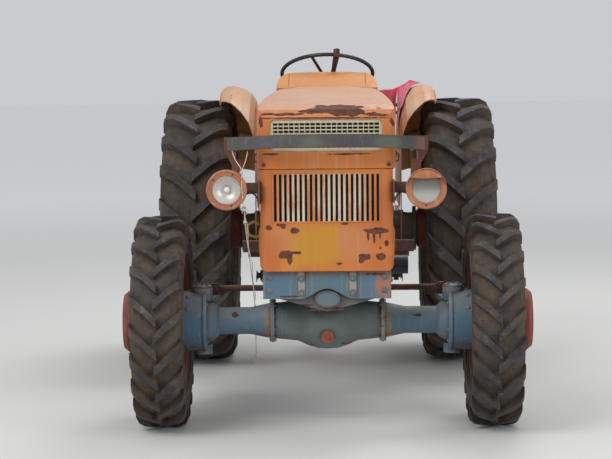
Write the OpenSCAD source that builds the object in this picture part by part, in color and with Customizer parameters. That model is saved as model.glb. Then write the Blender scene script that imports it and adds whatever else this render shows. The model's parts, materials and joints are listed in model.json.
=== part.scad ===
// Vintage four-wheel-drive farm tractor, in millimetres.
// The front faces -Y, +Z is up, and the origin is on the ground under the middle of its length.

/* [Layout] */
// Distance between the front and rear axles
wheelbase = 1950; // [1900:10:2050]
// From the rear axle back to the tips of the lower links
rear_reach = 830; // [800:10:900]
// Distance between the middles of the front tyres
front_track = 1370; // [1360:5:1420]
// Distance between the middles of the rear tyres
rear_track = 1290; // [1280:5:1360]

/* [Front wheels] */
// Radius of a front tyre over its lugs
front_tyre_r = 440; // [425:1:455]
// Width of a front tyre
front_tyre_w = 210; // [200:1:225]
// Radius of a front rim's bead seat
front_rim_r = 254; // [240:1:265]
// Height of a front lug
front_lug_h = 26; // [15:1:32]
// Lugs on each side of a front tyre
front_lugs = 20; // [14:1:22]

/* [Rear wheels] */
// Radius of a rear tyre over its lugs
rear_tyre_r = 660; // [640:1:665]
// Width of a rear tyre
rear_tyre_w = 345; // [300:1:350]
// Radius of a rear rim's bead seat
rear_rim_r = 356; // [340:1:370]
// Height of a rear lug
rear_lug_h = 36; // [20:1:42]
// Lugs on each side of a rear tyre
rear_lugs = 21; // [16:1:23]

/* [Front axle] */
// Distance of a kingpin from the middle
kingpin_x = 520; // [515:1:525]
// Radius of a kingpin
kingpin_r = 20; // [14:1:24]
// Radius of the drum on a knuckle
drum_r = 128; // [120:1:132]
// Radius of the ball on each end of the axle
ball_r = 90; // [86:1:92]
// How far the steering ball lies behind the kingpin
arm_back = 190; // [180:1:195]
// How far the steering ball lies inside the kingpin
arm_in = 40; // [30:1:50]
// Radius of the tie rod
tie_rod_r = 13; // [10:1:15]
// Height of the tie rod above the ground
tie_rod_z = 555; // [553:1:560]

/* [Body work] */
// Width of the grille box
box_w = 550; // [530:1:560]
// Underside of the grille box above the ground
box_z = 670; // [665:1:680]
// Height of the grille box
box_h = 410; // [400:1:420]
// Length of the grille box
box_l = 410; // [380:1:420]
// How far the nose reaches in front of the front axle
nose_reach = 250; // [240:1:255]
// Thickness of the sheet metal
sheet = 4; // [3:0.5:5]
// Slots in the lower grille
slot_count = 21; // [15:1:24]
// Height of the slots
slot_h = 190; // [150:1:210]
// Width over all slots
slot_area_w = 433; // [380:1:440]
// How far the bonnet's sides stand out over the grille box
bonnet_lip = 4; // [2:0.5:6]
// Width of the bonnet at the cowl
bonnet_rear_w = 526; // [510:1:540]
// Height of the bonnet's top at the cowl
bonnet_top = 1395; // [1385:1:1405]
// Radius of the bonnet's upper edges
bonnet_edge_r = 88; // [60:1:95]
// Width of the mesh opening
mesh_w = 452; // [420:1:456]
// Height of the mesh opening
mesh_h = 129; // [110:1:132]
// Columns of holes in the mesh
mesh_columns = 20; // [12:1:22]
// Rows of holes in the mesh
mesh_rows = 7; // [4:1:8]
// Width of the cowl
cowl_w = 462; // [440:1:480]
// Highest point of the cowl
cowl_top = 1460; // [1450:1:1465]

/* [Front fittings] */
// Length of the bar across the nose
bar_l = 790; // [770:1:800]
// Height of the bar
bar_h = 52; // [40:1:60]
// How far the bar's ends are swept back
bar_sweep = 70; // [50:1:80]
// Tilt of the bar, which lowers its swept ends
bar_tilt = 14; // [8:1:16]
// Radius of a lamp
lamp_r = 81.5; // [75:0.5:84]
// Distance of a lamp from the middle
lamp_x = 397; // [392:1:402]
// Height of a lamp's middle
lamp_z = 1005; // [998:1:1012]

/* [Driver's place] */
// Diameter of the steering wheel
wheel_d = 450; // [420:1:460]
// Thickness of its rim
wheel_rim_d = 18; // [14:1:22]
// Tilt of its plane
wheel_tilt = 25; // [20:1:30]
// Thickness of the seat's padding
seat_pad = 55; // [40:1:60]

/* [Fenders] */
// Distance of a fender's inner panel from the middle
fender_x = 357; // [350:1:365]
// Width of a fender over the tyre
fender_w = 176; // [165:1:180]
// Gap between the rear tyre and the fender's crown
fender_gap = 68; // [60:1:75]

/* [Hitch] */
// Distance of a lower link from the middle
link_x = 340; // [330:1:350]
// Radius of the hole in a lower link's tip
link_bore_r = 11.2; // [9:0.1:13]
// Radius of the power take-off shaft
pto_r = 17.5; // [15:0.1:18]
// Radius of the hole in the drawbar
drawbar_bore_r = 13; // [10:0.5:16]

/* [Hidden] */
$fn = 48;

// Running clearance of a pin in its hole, and gap between pieces that only rest on each other
pin_gap = 0.3;
seat_gap = 0.3;
// Smallest gap between pieces that move past each other
free_gap = 5;

// Places along the tractor
length = front_tyre_r + wheelbase + rear_reach;
front_y = -length / 2 + front_tyre_r;
rear_y = front_y + wheelbase;
nose_y = front_y - nose_reach;
front_hub_z = front_tyre_r;
rear_hub_z = rear_tyre_r;
engine_front = front_y + 320;
engine_l = 600;
engine_rear = engine_front + engine_l;
cowl_front = engine_rear + 7;
housing_front = rear_y - 260;
housing_rear = rear_y + 230;
box_top = box_z + box_h;

// Sizes that several pieces share
drum_inner = kingpin_x - 22;
drum_outer = kingpin_x + 140;
ball_out = (front_track - front_tyre_w) / 2 - kingpin_x - free_gap;
spindle_r = 30;
spindle_end = kingpin_x + 265;
flange_h = 18;
flange_t = 6;
bracket_w = box_w - 32;
bonnet_w = box_w + 2 * bonnet_lip;
bracket_top_t = 35;
block_w = 300;
block_z = 560;
block_h = 420;
gearbox_w = 300;
gearbox_top = 850;
axle_shaft_r = 35;
trumpet_end = 440;
plate_z = 620;
plate_t = 6;
panel_z = 780;
saddle_top = 750;
rockshaft_r = 20;
rockshaft_y = housing_rear - 45;
rockshaft_z = 990;
lift_arm_l = 240;
lift_arm_up = 10;
lift_arm_x = 152;
link_front_y = rear_y + 20;
link_z = 420;
link_pin_r = 14;
link_eye_r = 30;
bar_r = (bar_l * bar_l / 4 + bar_sweep * bar_sweep) / (2 * bar_sweep);
bar_t = 8;
bar_y = nose_y - 100;
bar_z = 1175;
bonnet_rear = cowl_front - 19;
hinge_y = bonnet_rear + 4;
hinge_z = bonnet_top - 9;
wheel_y = rear_y - 600;
wheel_z = 1450;
lamp_y = nose_y - 85;
post_y = nose_y + 28;
fender_r = rear_tyre_r + fender_gap;

// Helpers
module both_sides() {
    for (s = [-1, 1]) scale([s, 1, 1]) children();
}

// Extrudes an outline drawn as [x, z] along Y from y0 to y1
module along_y(y0, y1) {
    translate([0, y1, 0]) rotate([90, 0, 0]) linear_extrude(y1 - y0) children();
}

// Extrudes an outline drawn as [y, z] along X from x0 to x1
module along_x(x0, x1) {
    translate([x0, 0, 0]) rotate([90, 0, 90]) linear_extrude(x1 - x0) children();
}

// Turns a profile drawn as [radius, x] about the X axis
module about_x(angle = 360, from = 0) {
    rotate([0, 90, 0]) rotate([0, 0, from]) rotate_extrude(angle = angle) children();
}

module tube_x(r, x0, x1) {
    translate([x0, 0, 0]) rotate([0, 90, 0]) cylinder(r = r, h = x1 - x0);
}

module tube_y(r, y0, y1) {
    translate([0, y1, 0]) rotate([90, 0, 0]) cylinder(r = r, h = y1 - y0);
}

// Rod from a to b, with its seam turned round it
module rod_between(a, b, r, seam = 0) {
    v = b - a;
    l = norm(v);
    translate(a) rotate([0, acos(v[2] / l), atan2(v[1], v[0])]) rotate(seam)
        cylinder(r = r, h = l);
}

module box_at(x0, x1, y0, y1, z0, z1) {
    translate([x0, y0, z0]) cube([x1 - x0, y1 - y0, z1 - z0]);
}

// Wheels
// Half of a tyre's section as [radius, x], from the bead up to the crown
function tyre_half(w, bead_w, bead_r, crown_r, square) =
    let (low_r = bead_r + flange_h + 1, mid_r = low_r + (crown_r - low_r) * 0.36)
    concat(
        [[bead_r, bead_w / 2]],
        [for (t = [90:-30:0])
            [mid_r - (mid_r - low_r) * sin(t), bead_w / 2 + (w - bead_w) / 2 * cos(t)]],
        [for (t = [22.5:22.5:90])
            [mid_r + (crown_r - mid_r) * pow(sin(t), square), w / 2 * pow(max(cos(t), 0), square)]]);

function mirrored(half) = [for (i = [len(half) - 2:-1:0]) [half[i][0], -half[i][1]]];

// Outline of one lug in the tread, as [across, along], for a tyre one unit wide
lug_outline = [[-0.03, 0.02], [0.24, -0.24], [0.53, -0.44]];

module lug(w, r0, h, bar_w, side) {
    lower = [for (p = lug_outline) [-side * p[0] * w, p[1] * w]];
    upper = [for (i = [len(lug_outline) - 1:-1:0])
        [-side * lug_outline[i][0] * w, lug_outline[i][1] * w - bar_w]];
    translate([r0, 0, 0]) rotate([0, 90, 0]) linear_extrude(h) polygon(concat(lower, upper));
}

module tyre(r, w, bead_r, lug_h, lugs) {
    bead_w = w * 0.76;
    crown_r = r - lug_h;
    root_r = bead_r + (crown_r - bead_r) * 0.62;
    body = tyre_half(w, bead_w, bead_r, crown_r, 0.62);
    tread = tyre_half(w + 6, bead_w, bead_r, r, 0.4);
    color([0.27, 0.26, 0.26]) rotate([0, 90, 0]) union() {
        rotate_extrude() polygon(concat(body, mirrored(body)));
        intersection() {
            rotate_extrude() polygon(concat(tread, mirrored(tread)));
            union() for (i = [0:lugs - 1], side = [-1, 1])
                rotate([0, 0, (i + side / 4) * 360 / lugs])
                    lug(w, root_r, r - root_r + 10, w * 0.13 + 8, side);
        }
    }
}

// Barrel of a rim with its two flanges
module rim_barrel(bead_r, w) {
    half = w * 0.76 / 2 + seat_gap;
    outer = half + flange_t;
    about_x() polygon([[bead_r - 7, -outer], [bead_r + flange_h, -outer], [bead_r + flange_h, -half],
        [bead_r - seat_gap, -half], [bead_r - seat_gap, half], [bead_r + flange_h, half],
        [bead_r + flange_h, outer], [bead_r - 7, outer]]);
}

// Front wheel without its tyre, drawn for the side at +X
module front_rim(side) {
    x0 = drum_outer + free_gap - front_track / 2;
    color([0.62, 0.27, 0.2]) translate([side * front_track / 2, front_y, front_hub_z])
    scale([side, 1, 1]) union() {
        rim_barrel(front_rim_r, front_tyre_w);
        about_x() polygon([[100, 40], [100, 50], [150, 50], [185, 30], [front_rim_r - 6, 22],
            [front_rim_r - 6, 12], [182, 20], [147, 40]]);
        about_x() polygon([[spindle_r + pin_gap, x0], [104, x0], [104, 45], [127, 58], [127, 140],
            [112, 158], [0, 158], [0, spindle_end - front_track / 2 + free_gap],
            [spindle_r + pin_gap, spindle_end - front_track / 2 + free_gap]]);
        for (a = [0:45:315]) rotate([a, 0, 0]) translate([0, 0, 136]) tube_x(8, 48, 62);
    }
}

// Rear wheel without its tyre, drawn for the side at +X
module rear_rim(side) {
    x0 = trumpet_end - rear_track / 2;
    color([0.62, 0.27, 0.2]) translate([side * rear_track / 2, rear_y, rear_hub_z])
    scale([side, 1, 1]) union() {
        rim_barrel(rear_rim_r, rear_tyre_w);
        about_x() polygon([[60, -30], [60, -18], [150, -18], [215, 30], [rear_rim_r - 6, 44],
            [rear_rim_r - 6, 32], [218, 18], [158, -30]]);
        about_x() polygon([[0, x0 - 80], [axle_shaft_r, x0 - 80], [axle_shaft_r, x0 + free_gap],
            [95, x0 + free_gap], [95, x0 + 60], [130, x0 + 70], [130, -30], [82, -18], [72, 22],
            [0, 30]]);
        for (a = [0:45:315]) rotate([a, 0, 0]) translate([0, 0, 108]) tube_x(9, -20, -2);
    }
}

module front_tyre(side) {
    translate([side * front_track / 2, front_y, front_hub_z])
        tyre(front_tyre_r, front_tyre_w, front_rim_r, front_lug_h, front_lugs);
}

module rear_tyre(side) {
    translate([side * rear_track / 2, rear_y, rear_hub_z])
        tyre(rear_tyre_r, rear_tyre_w, rear_rim_r, rear_lug_h, rear_lugs);
}

// Front axle
pivot_z = 561;
pivot_r = 25;
rail_x = 125;
plate_low = 556;
arch_w = 112;
arch_h = 40;

module front_bracket() {
    half = bracket_w / 2;
    top = box_z - bracket_top_t;
    y0 = nose_y + 20;
    color([0.35, 0.51, 0.64]) union() {
        // Top plate, from the nose back to the engine
        box_at(-half, half, y0, front_y + 110, top, box_z);
        // Rails back to the engine
        both_sides() box_at(rail_x, block_w / 2, front_y + 40, engine_front, top - 35, top + 1);
        // Front plate with the arch over the pivot
        difference() {
            box_at(-half, half, y0, y0 + 24, plate_low, top + 1);
            along_y(y0 - 1, y0 + 25) polygon(concat([[-arch_w, 0]],
                [for (k = [-12:12]) [k * arch_w / 12, plate_low + arch_h * (1 + cos(k * 15)) / 2]],
                [[arch_w, 0]]));
        }
        both_sides() box_at(half - 22, half, y0 + 23, front_y + 60, plate_low, top + 1);
        // Saddle and pivot pin
        along_y(y0 + 24, y0 + 38) difference() {
            polygon([[-200, 555], [0, 500], [200, 555], [200, top + 1], [-200, top + 1]]);
            polygon([[-170, 600], [-60, 600], [-60, top - 10], [-170, top - 10]]);
            polygon([[170, 600], [60, 600], [60, top - 10], [170, top - 10]]);
        }
        along_y(y0 - 6, y0 + 30) translate([0, pivot_z - 7])
            polygon([for (a = [0:9:351]) [52 * cos(a), 35 * sin(a)]]);
        translate([0, 0, pivot_z]) tube_y(pivot_r, y0 + 30, front_y + 40);
        // Bolt pads on the front
        both_sides() box_at(90, 118, y0 - 8, y0 + 1, 575, box_z);
    }
}

// Section of the axle housing as [radius, distance from the middle]
beam_profile = [[118, 0], [116, 40], [104, 80], [84, 125], [76, 200], [74, 236], [56, 320],
    [56, kingpin_x - 65]];

// Outside the kingpin the ball is cut back, so that the steered wheel turns clear of it
module axle_ball() {
    intersection() {
        sphere(r = ball_r);
        union() {
            box_at(-ball_r, 0, -ball_r, ball_r, -ball_r, ball_r);
            translate([0, 0, -ball_r]) cylinder(r = ball_out, h = 2 * ball_r);
        }
    }
}

module front_axle_beam() {
    pinion_end = front_y + 210;
    color([0.42, 0.54, 0.6]) difference() {
        union() {
            translate([0, front_y, front_hub_z]) {
                both_sides() about_x() polygon(concat([[0, 0]], beam_profile, [[0, kingpin_x - 65]]));
                translate([0, -122, -55]) tube_y(25, 0, 40);
            }
            translate([0, 0, front_hub_z]) tube_y(58, front_y, pinion_end);
            // Pivot lug between the beam and the bracket
            along_y(nose_y + 70, front_y + 30)
                polygon([[-70, front_hub_z + 60], [70, front_hub_z + 60], [45, pivot_z + 42],
                    [-45, pivot_z + 42]]);
            both_sides() translate([kingpin_x, front_y, front_hub_z]) axle_ball();
        }
        both_sides() translate([kingpin_x, front_y, 0])
            cylinder(r = kingpin_r + pin_gap, h = front_hub_z + drum_r);
        translate([0, 0, pivot_z]) tube_y(pivot_r + pin_gap, nose_y, front_y + 40 + free_gap);
    }
}

module steering_arm_outline() {
    hull() {
        translate([kingpin_x, front_y]) circle(r = 44, $fn = 32);
        translate([kingpin_x - arm_in, front_y + arm_back]) circle(r = 24, $fn = 32);
    }
}

module knuckle() {
    low = front_hub_z - drum_r;
    high = front_hub_z + drum_r;
    arm_top = tie_rod_z - 25;
    color([0.35, 0.51, 0.64]) union() {
        difference() {
            union() {
                translate([0, front_y, front_hub_z]) about_x() polygon([[0, drum_inner],
                    [drum_r - 4, drum_inner], [drum_r, drum_inner + 8], [drum_r, drum_inner + 14],
                    [drum_r - 4, drum_inner + 20], [drum_r - 4, drum_outer - 45], [104, drum_outer - 20],
                    [104, drum_outer], [0, drum_outer]]);
                translate([kingpin_x, front_y, high - 40]) cylinder(r = 44, h = 52);
                translate([kingpin_x, front_y, low - 8]) cylinder(r = 40, h = 40);
                translate([0, 0, arm_top - 20]) linear_extrude(20) steering_arm_outline();
            }
            translate([kingpin_x, front_y, front_hub_z]) sphere(r = ball_r + free_gap);
        }
        translate([0, front_y, front_hub_z]) tube_x(spindle_r, drum_outer - 1, spindle_end);
        translate([kingpin_x, front_y, low]) cylinder(r = kingpin_r, h = 2 * drum_r);
    }
}

module tie_rod() {
    color([0.45, 0.3, 0.27]) translate([0, front_y + arm_back, 0]) union() {
        translate([0, 0, tie_rod_z]) tube_x(tie_rod_r, -kingpin_x + arm_in, kingpin_x - arm_in);
        both_sides() translate([kingpin_x - arm_in, 0, tie_rod_z - 25 + pin_gap]) {
            cylinder(r = 24, h = 40);
            cylinder(r = 16, h = 46);
        }
    }
}

// Nose
waist_in = 8;
panel_in = 3;

module box_outline(inset) {
    half = box_w / 2 - inset;
    r = 34 - inset;
    y0 = nose_y + inset;
    union() {
        polygon([[-half + r, y0], [half - r, y0], [half - r, y0 + r], [half, y0 + r],
            [half, nose_y + box_l + 1], [-half, nose_y + box_l + 1], [-half, y0 + r],
            [-half + r, y0 + r]]);
        for (s = [-1, 1]) translate([s * (half - r), y0 + r]) circle(r = r);
    }
}

// Front outline of the box: straight beside the slots, wider below them, round at the foot
module box_front(inset) {
    half = box_w / 2 - inset;
    low = box_z + inset;
    r = 26 - inset;
    waist = box_z + 184;
    right = concat([[half - 6 - r, low]], arc([half - 6 - r, low + r], r, -90, -8, 6),
        [[half, box_z + 110], [half, box_z + 160], [half - waist_in, waist], [half - waist_in, 2000]]);
    polygon(concat(right, flipped(right)));
}

module box_form(inset) {
    intersection() {
        translate([0, 0, box_z + inset]) linear_extrude(box_h) box_outline(inset);
        along_y(nose_y - 1, nose_y + box_l + 10) box_front(inset);
    }
}

module grille_box() {
    pitch = slot_area_w / slot_count;
    slot_z = box_top - 19 - slot_h;
    panel_w = slot_area_w / 2 + 6;
    panel_y = nose_y + panel_in;
    color([0.84, 0.52, 0.26]) difference() {
        union() {
            difference() {
                box_form(0);
                box_form(sheet);
                box_at(-box_w, box_w, nose_y + box_l, nose_y + box_l + 20, 0, 2000);
                box_at(-panel_w, panel_w, nose_y - 1, nose_y + sheet + 1, slot_z - 8, box_top + 1);
            }
            // Panel with the slots, set back in its frame
            box_at(-panel_w - 2, panel_w + 2, panel_y, panel_y + sheet, slot_z - 10, box_top);
        }
        for (i = [0:slot_count - 1])
            box_at(-slot_area_w / 2 + pitch * (i + 0.24), -slot_area_w / 2 + pitch * (i + 0.76),
                panel_y - 1, panel_y + sheet + 1, slot_z, slot_z + slot_h);
    }
}

module radiator() {
    y0 = nose_y + 130;
    z0 = box_z + sheet;
    color([0.2, 0.19, 0.18]) union() {
        box_at(-200, 200, y0 + 10, y0 + 70, z0 + 60, 1200);
        box_at(-215, 215, y0, y0 + 80, z0, z0 + 61);
        box_at(-215, 215, y0, y0 + 80, 1199, 1260);
        both_sides() box_at(199, 215, y0, y0 + 80, z0, 1260);
        for (z = [780:40:1160]) box_at(-200, 200, y0 + 6, y0 + 74, z, z + 6);
        translate([0, y0 + 40, 1259]) cylinder(r = 30, h = 22);
    }
}

// Bonnet outlines, moved in by a sheet's thickness for the inside
function bonnet_side(i) = let (t = bonnet_top, low = box_top - 50 - i * 5) [
    [nose_y + i, low], [nose_y + i, t - 104], [nose_y + 14 + i, t - 76 - i * 0.6],
    [nose_y + 80, t - 56 - i], [nose_y + 270, t - 33 - i], [nose_y + 560, t - 5 - i],
    [nose_y + 860, t - i], [bonnet_rear + 8 + i, t - i], [bonnet_rear + 8 + i, low]];

// Points of an arc about c from angle a to angle b
function arc(c, r, a, b, steps) =
    [for (k = [0:steps]) c + r * [cos(a + (b - a) * k / steps), sin(a + (b - a) * k / steps)]];

function flipped(points) = [for (i = [len(points) - 1:-1:0]) [-points[i][0], points[i][1]]];

module bonnet_section(i) {
    half = bonnet_w / 2 - i;
    r = bonnet_edge_r - i;
    top = bonnet_top - i;
    low = box_top - 60 - i * 5;
    right = concat([[half, low]], arc([half - r, top - r - 8], r, 0, 84, 7), [[80, top]]);
    polygon(concat(right, flipped(right)));
}

module bonnet_plan(i) {
    half = bonnet_w / 2 - i;
    rear = bonnet_rear_w / 2 - i;
    r = 42 - i;
    y0 = nose_y + i;
    right = concat(arc([half - r, y0 + r], r, -90, 0, 5),
        [[half, nose_y + box_l], [rear, bonnet_rear + 30 + i]]);
    polygon(concat(right, flipped(right)));
}

module bonnet_form(i) {
    intersection() {
        along_x(-bonnet_w, bonnet_w) polygon(bonnet_side(i));
        along_y(nose_y - 10, bonnet_rear + 40 + i) bonnet_section(i);
        linear_extrude(2000) bonnet_plan(i);
    }
}

mesh_z = box_top + 72;

module mesh_opening() {
    half = mesh_w / 2;
    r = 20;
    right = concat(arc([half - r, mesh_z + r], r, -90, 0, 6),
        arc([half - r, mesh_z + mesh_h - r], r, 0, 90, 6));
    polygon(concat(right, flipped(right)));
}

module bonnet() {
    low = box_top + 3;
    color([0.84, 0.52, 0.26]) difference() {
        union() {
            difference() {
                bonnet_form(0);
                bonnet_form(sheet);
                box_at(-bonnet_w, bonnet_w, nose_y - 1, bonnet_rear + 50, 0, low);
                box_at(-bonnet_w, bonnet_w, bonnet_rear, bonnet_rear + 50, 0, 2000);
                box_at(-bonnet_w / 2 + 60, bonnet_w / 2 - 60, bonnet_rear - 20, bonnet_rear + 50, 0,
                    bonnet_top - 26);
                along_y(nose_y - 1, nose_y + sheet + 1) mesh_opening();
                both_sides() box_at(139, 173, bonnet_rear - 8, bonnet_rear + 50, bonnet_top - 30, 2000);
            }
            both_sides() for (x = [120, 174]) translate([0, hinge_y, hinge_z]) tube_x(7, x, x + 18);
        }
        both_sides() translate([0, hinge_y, hinge_z]) tube_x(4 + pin_gap, 110, 200);
    }
}

module mesh_grille() {
    margin = 12;
    pitch_x = (mesh_w - 2 * margin) / mesh_columns;
    pitch_z = (mesh_h - 2 * margin) / mesh_rows;
    y0 = nose_y + sheet + seat_gap;
    color([0.88, 0.84, 0.74]) along_y(y0, y0 + 4) difference() {
        translate([-mesh_w / 2 - 8, mesh_z - 8]) square([mesh_w + 16, mesh_h + 16]);
        for (i = [0:mesh_columns - 1], j = [0:mesh_rows - 1])
            translate([-mesh_w / 2 + margin + (i + 0.12) * pitch_x, mesh_z + margin + (j + 0.28) * pitch_z])
                square([pitch_x * 0.76, pitch_z * 0.44]);
    }
}

// Cowl between the bonnet and the driver
function cowl_side(i) = [
    [cowl_front, gearbox_top], [cowl_front, bonnet_top - 6], [cowl_front + 20, bonnet_top + 4 - i],
    [cowl_front + 120, cowl_top - 24 - i], [cowl_front + 230, cowl_top - i],
    [cowl_front + 275, cowl_top - 8 - i], [cowl_front + 300, cowl_top - 60],
    [cowl_front + 310, 1180], [cowl_front + 250, gearbox_top]];

module cowl_section() {
    half = cowl_w / 2;
    r = 60;
    union() {
        polygon([[-half + 50, gearbox_top], [half - 50, gearbox_top], [half, 1000],
            [half, cowl_top - r - 4], [half - r, cowl_top - 4], [80, cowl_top], [-80, cowl_top],
            [-half + r, cowl_top - 4], [-half, cowl_top - r - 4], [-half, 1000]]);
        for (s = [-1, 1]) translate([s * (half - r), cowl_top - r - 4]) circle(r = r);
    }
}

module cowl_form() {
    intersection() {
        along_x(-cowl_w, cowl_w) polygon(cowl_side(0));
        along_y(cowl_front - 10, cowl_front + 400) cowl_section();
    }
}

module cowl() {
    seam_x = 176;
    side = cowl_side(0);
    seam = concat([side[2] - [30, 4]], [for (i = [2:5]) side[i]], [side[5] + [30, -8]]);
    color([0.84, 0.52, 0.26]) union() {
        difference() {
            cowl_form();
            both_sides() along_x(seam_x - 2, seam_x + 2)
                polygon(concat([for (p = seam) p + [0, 10]],
                    [for (i = [len(seam) - 1:-1:0]) seam[i] - [0, 3]]));
        }
        // Ears and pins that the bonnet turns on
        both_sides() {
            translate([0, hinge_y, hinge_z]) tube_x(7, 144, 168);
            translate([0, hinge_y, hinge_z]) tube_x(4, 119, 193);
            box_at(144, 168, hinge_y, cowl_front + 1, hinge_z - 7, hinge_z);
        }
    }
}

// Steering column and wheel, drawn upright at the wheel's middle and then tilted
module at_wheel() {
    translate([0, wheel_y, wheel_z]) rotate([-wheel_tilt, 0, 0]) children();
}

module steering_column() {
    color([0.16, 0.16, 0.17]) difference() {
        at_wheel() union() {
            translate([0, 0, -420]) cylinder(r = 22, h = 363);
            translate([0, 0, -60]) cylinder(r = 12, h = 40);
        }
        cowl_form();
    }
}

module steering_wheel() {
    ring_r = (wheel_d - wheel_rim_d) / 2;
    hub_z = -45;
    color([0.1, 0.1, 0.1]) at_wheel() difference() {
        union() {
            rotate_extrude() translate([ring_r, 0]) circle(r = wheel_rim_d / 2, $fn = 24);
            translate([0, 0, hub_z - 10]) cylinder(r = 30, h = 34);
            for (a = [-110, 10, 130])
                rod_between([0, 0, hub_z + 4], [ring_r * cos(a), ring_r * sin(a), 0], 7);
            // Knob on the rim with its strap
            rod_between([20, -10, hub_z + 4], [ring_r * cos(-78), ring_r * sin(-78), 0], 9);
            translate([ring_r * cos(-78), ring_r * sin(-78), 0]) cylinder(r = 15, h = 26);
        }
        translate([0, 0, -62]) cylinder(r = 12 + pin_gap, h = 44);
    }
}

// Engine
module engine_block() {
    half = block_w / 2;
    z1 = block_z + block_h;
    color([0.3, 0.27, 0.25]) union() {
        box_at(-half, half, engine_front, engine_rear, block_z, z1);
        box_at(-half - 12, half + 12, engine_front, engine_rear, block_z + 120, block_z + 134);
        // Sump
        along_x(-half + 20, half - 20) polygon([[engine_front + 30, block_z + 1],
            [engine_front + 60, block_z - 50], [engine_rear - 240, block_z - 50],
            [engine_rear - 200, block_z - 85], [engine_rear - 30, block_z - 85],
            [engine_rear - 10, block_z + 1]]);
        // Timing cover and pulley
        along_y(engine_front - 40, engine_front + 1)
            polygon([[-120, block_z + 20], [-70, block_z - 20], [70, block_z - 20], [120, block_z + 20],
                [95, z1 - 60], [-95, z1 - 60]]);
        translate([0, 0, block_z + 70]) tube_y(70, engine_front - 75, engine_front - 39);
        // Core plugs and a rib under each cylinder
        for (i = [0:2], s = [-1, 1]) {
            y = engine_front + 110 + i * 190;
            scale([s, 1, 1]) translate([0, y, block_z + 280]) tube_x(26, half - 1, half + 7);
            scale([s, 1, 1]) box_at(half - 1, half + 9, y + 78, y + 92, block_z + 134, z1 - 20);
        }
        // Flange at the gearbox
        box_at(-half - 30, half + 30, engine_rear - 18, engine_rear, block_z - 40, z1 - 60);
        // Starter with its solenoid, bolted to the flange
        translate([half + 46, 0, block_z + 74]) {
            tube_y(40, engine_rear - 210, engine_rear - 17);
            tube_y(24, engine_rear - 250, engine_rear - 209);
        }
        translate([half + 24, 0, block_z + 128]) tube_y(22, engine_rear - 160, engine_rear - 17);
        // Alternator on its arms
        translate([-half - 52, 0, block_z + 300]) {
            tube_y(60, engine_front + 50, engine_front + 170);
            tube_y(52, engine_front + 40, engine_front + 180);
            tube_y(34, engine_front - 10, engine_front + 41);
            tube_y(9, engine_front - 18, engine_front + 50);
        }
        for (y = [engine_front + 60, engine_front + 150])
            box_at(-half - 50, -half + 1, y, y + 12, block_z + 230, block_z + 262);
    }
}

module cylinder_head() {
    z0 = block_z + block_h;
    y0 = engine_front + 20;
    y1 = engine_rear - 40;
    color([0.36, 0.3, 0.26]) union() {
        box_at(-115, 115, y0, y1, z0, z0 + 95);
        // Rocker cover with a rounded top
        along_y(y0 + 20, y1 - 20) union() {
            polygon([[-82, z0 + 94], [82, z0 + 94], [76, z0 + 150], [-76, z0 + 150]]);
            translate([-40, z0 + 150]) square([80, 36]);
            for (s = [-1, 1]) translate([s * 40, z0 + 150]) circle(r = 36);
        }
        translate([0, y0 + 120, z0 + 180]) cylinder(r = 24, h = 26);
        for (i = [0:2]) translate([60, y0 + 90 + i * 190, z0 + 94]) cylinder(r = 14, h = 30);
    }
}

// Manifold, pipe and silencer on the side at -X
exhaust_x = -232;
exhaust_z = block_z + block_h + 45;
silencer_z = 540;
silencer_r = 44;

module exhaust() {
    y0 = engine_front + 80;
    y1 = engine_rear - 60;
    r = 24;
    bend = 50;
    color([0.33, 0.2, 0.15]) union() {
        translate([exhaust_x, 0, exhaust_z]) tube_y(30, y0, y1 - bend);
        for (i = [0:2]) {
            y = engine_front + 110 + i * 190;
            box_at(exhaust_x, -115, y - 26, y + 26, exhaust_z - 22, exhaust_z + 22);
        }
        // Bend down, pipe, bend back and silencer
        translate([exhaust_x, y1 - bend, exhaust_z - bend]) rotate([90, 0, 90]) rotate_extrude(angle = 90)
            translate([bend, 0]) circle(r = r);
        translate([exhaust_x, y1, silencer_z + bend]) cylinder(r = r, h = exhaust_z - silencer_z - 2 * bend);
        translate([exhaust_x, y1 + bend, silencer_z + bend]) rotate([90, 0, 90]) rotate([0, 0, 180])
            rotate_extrude(angle = 90) translate([bend, 0]) circle(r = r);
        translate([exhaust_x, 0, silencer_z]) {
            tube_y(r, y1 + bend - 1, y1 + 660);
            tube_y(silencer_r, y1 + 110, y1 + 500);
        }
    }
}

module injection_pump() {
    x = block_w / 2 + 50;
    y0 = engine_front + 210;
    z0 = block_z + 140;
    color([0.4, 0.36, 0.32]) union() {
        box_at(block_w / 2, x + 32, y0, y0 + 160, z0, z0 + 80);
        translate([x, 0, z0 + 40]) tube_y(38, y0 - 40, y0 + 1);
        translate([x, 0, z0 + 40]) tube_y(30, y0 + 159, y0 + 200);
        for (i = [0:2]) translate([x, y0 + 30 + i * 50, z0 + 79]) cylinder(r = 12, h = 40);
    }
}

module cooling_fan() {
    fan_z = block_z + 250;
    y1 = engine_front - 40;
    color([0.5, 0.16, 0.12]) union() {
        translate([0, 0, fan_z]) tube_y(45, y1 - 70, y1);
        for (a = [0:60:300]) translate([0, y1 - 50, fan_z]) rotate([0, a, 0])
            translate([0, 0, 30]) rotate([0, 0, 25]) translate([-30, -2, 0]) cube([60, 4, 145]);
    }
}

module oil_filter() {
    y = engine_front + 210;
    z = 617;
    color([0.12, 0.14, 0.2]) translate([0, y, z]) union() {
        tube_x(24, block_w / 2, 265);
        tube_x(41, 264, 352);
    }
}

module air_cleaner() {
    x = block_w / 2 + 55;
    y = engine_rear - 150;
    color([0.22, 0.2, 0.18]) union() {
        translate([x, y, 960]) cylinder(r = 52, h = 230);
        translate([x, y, 925]) cylinder(r = 46, h = 36);
        translate([x, y, 1189]) cylinder(r = 30, h = 40);
        box_at(block_w / 2, x, y - 25, y + 25, 930, 960);
    }
}

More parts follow.
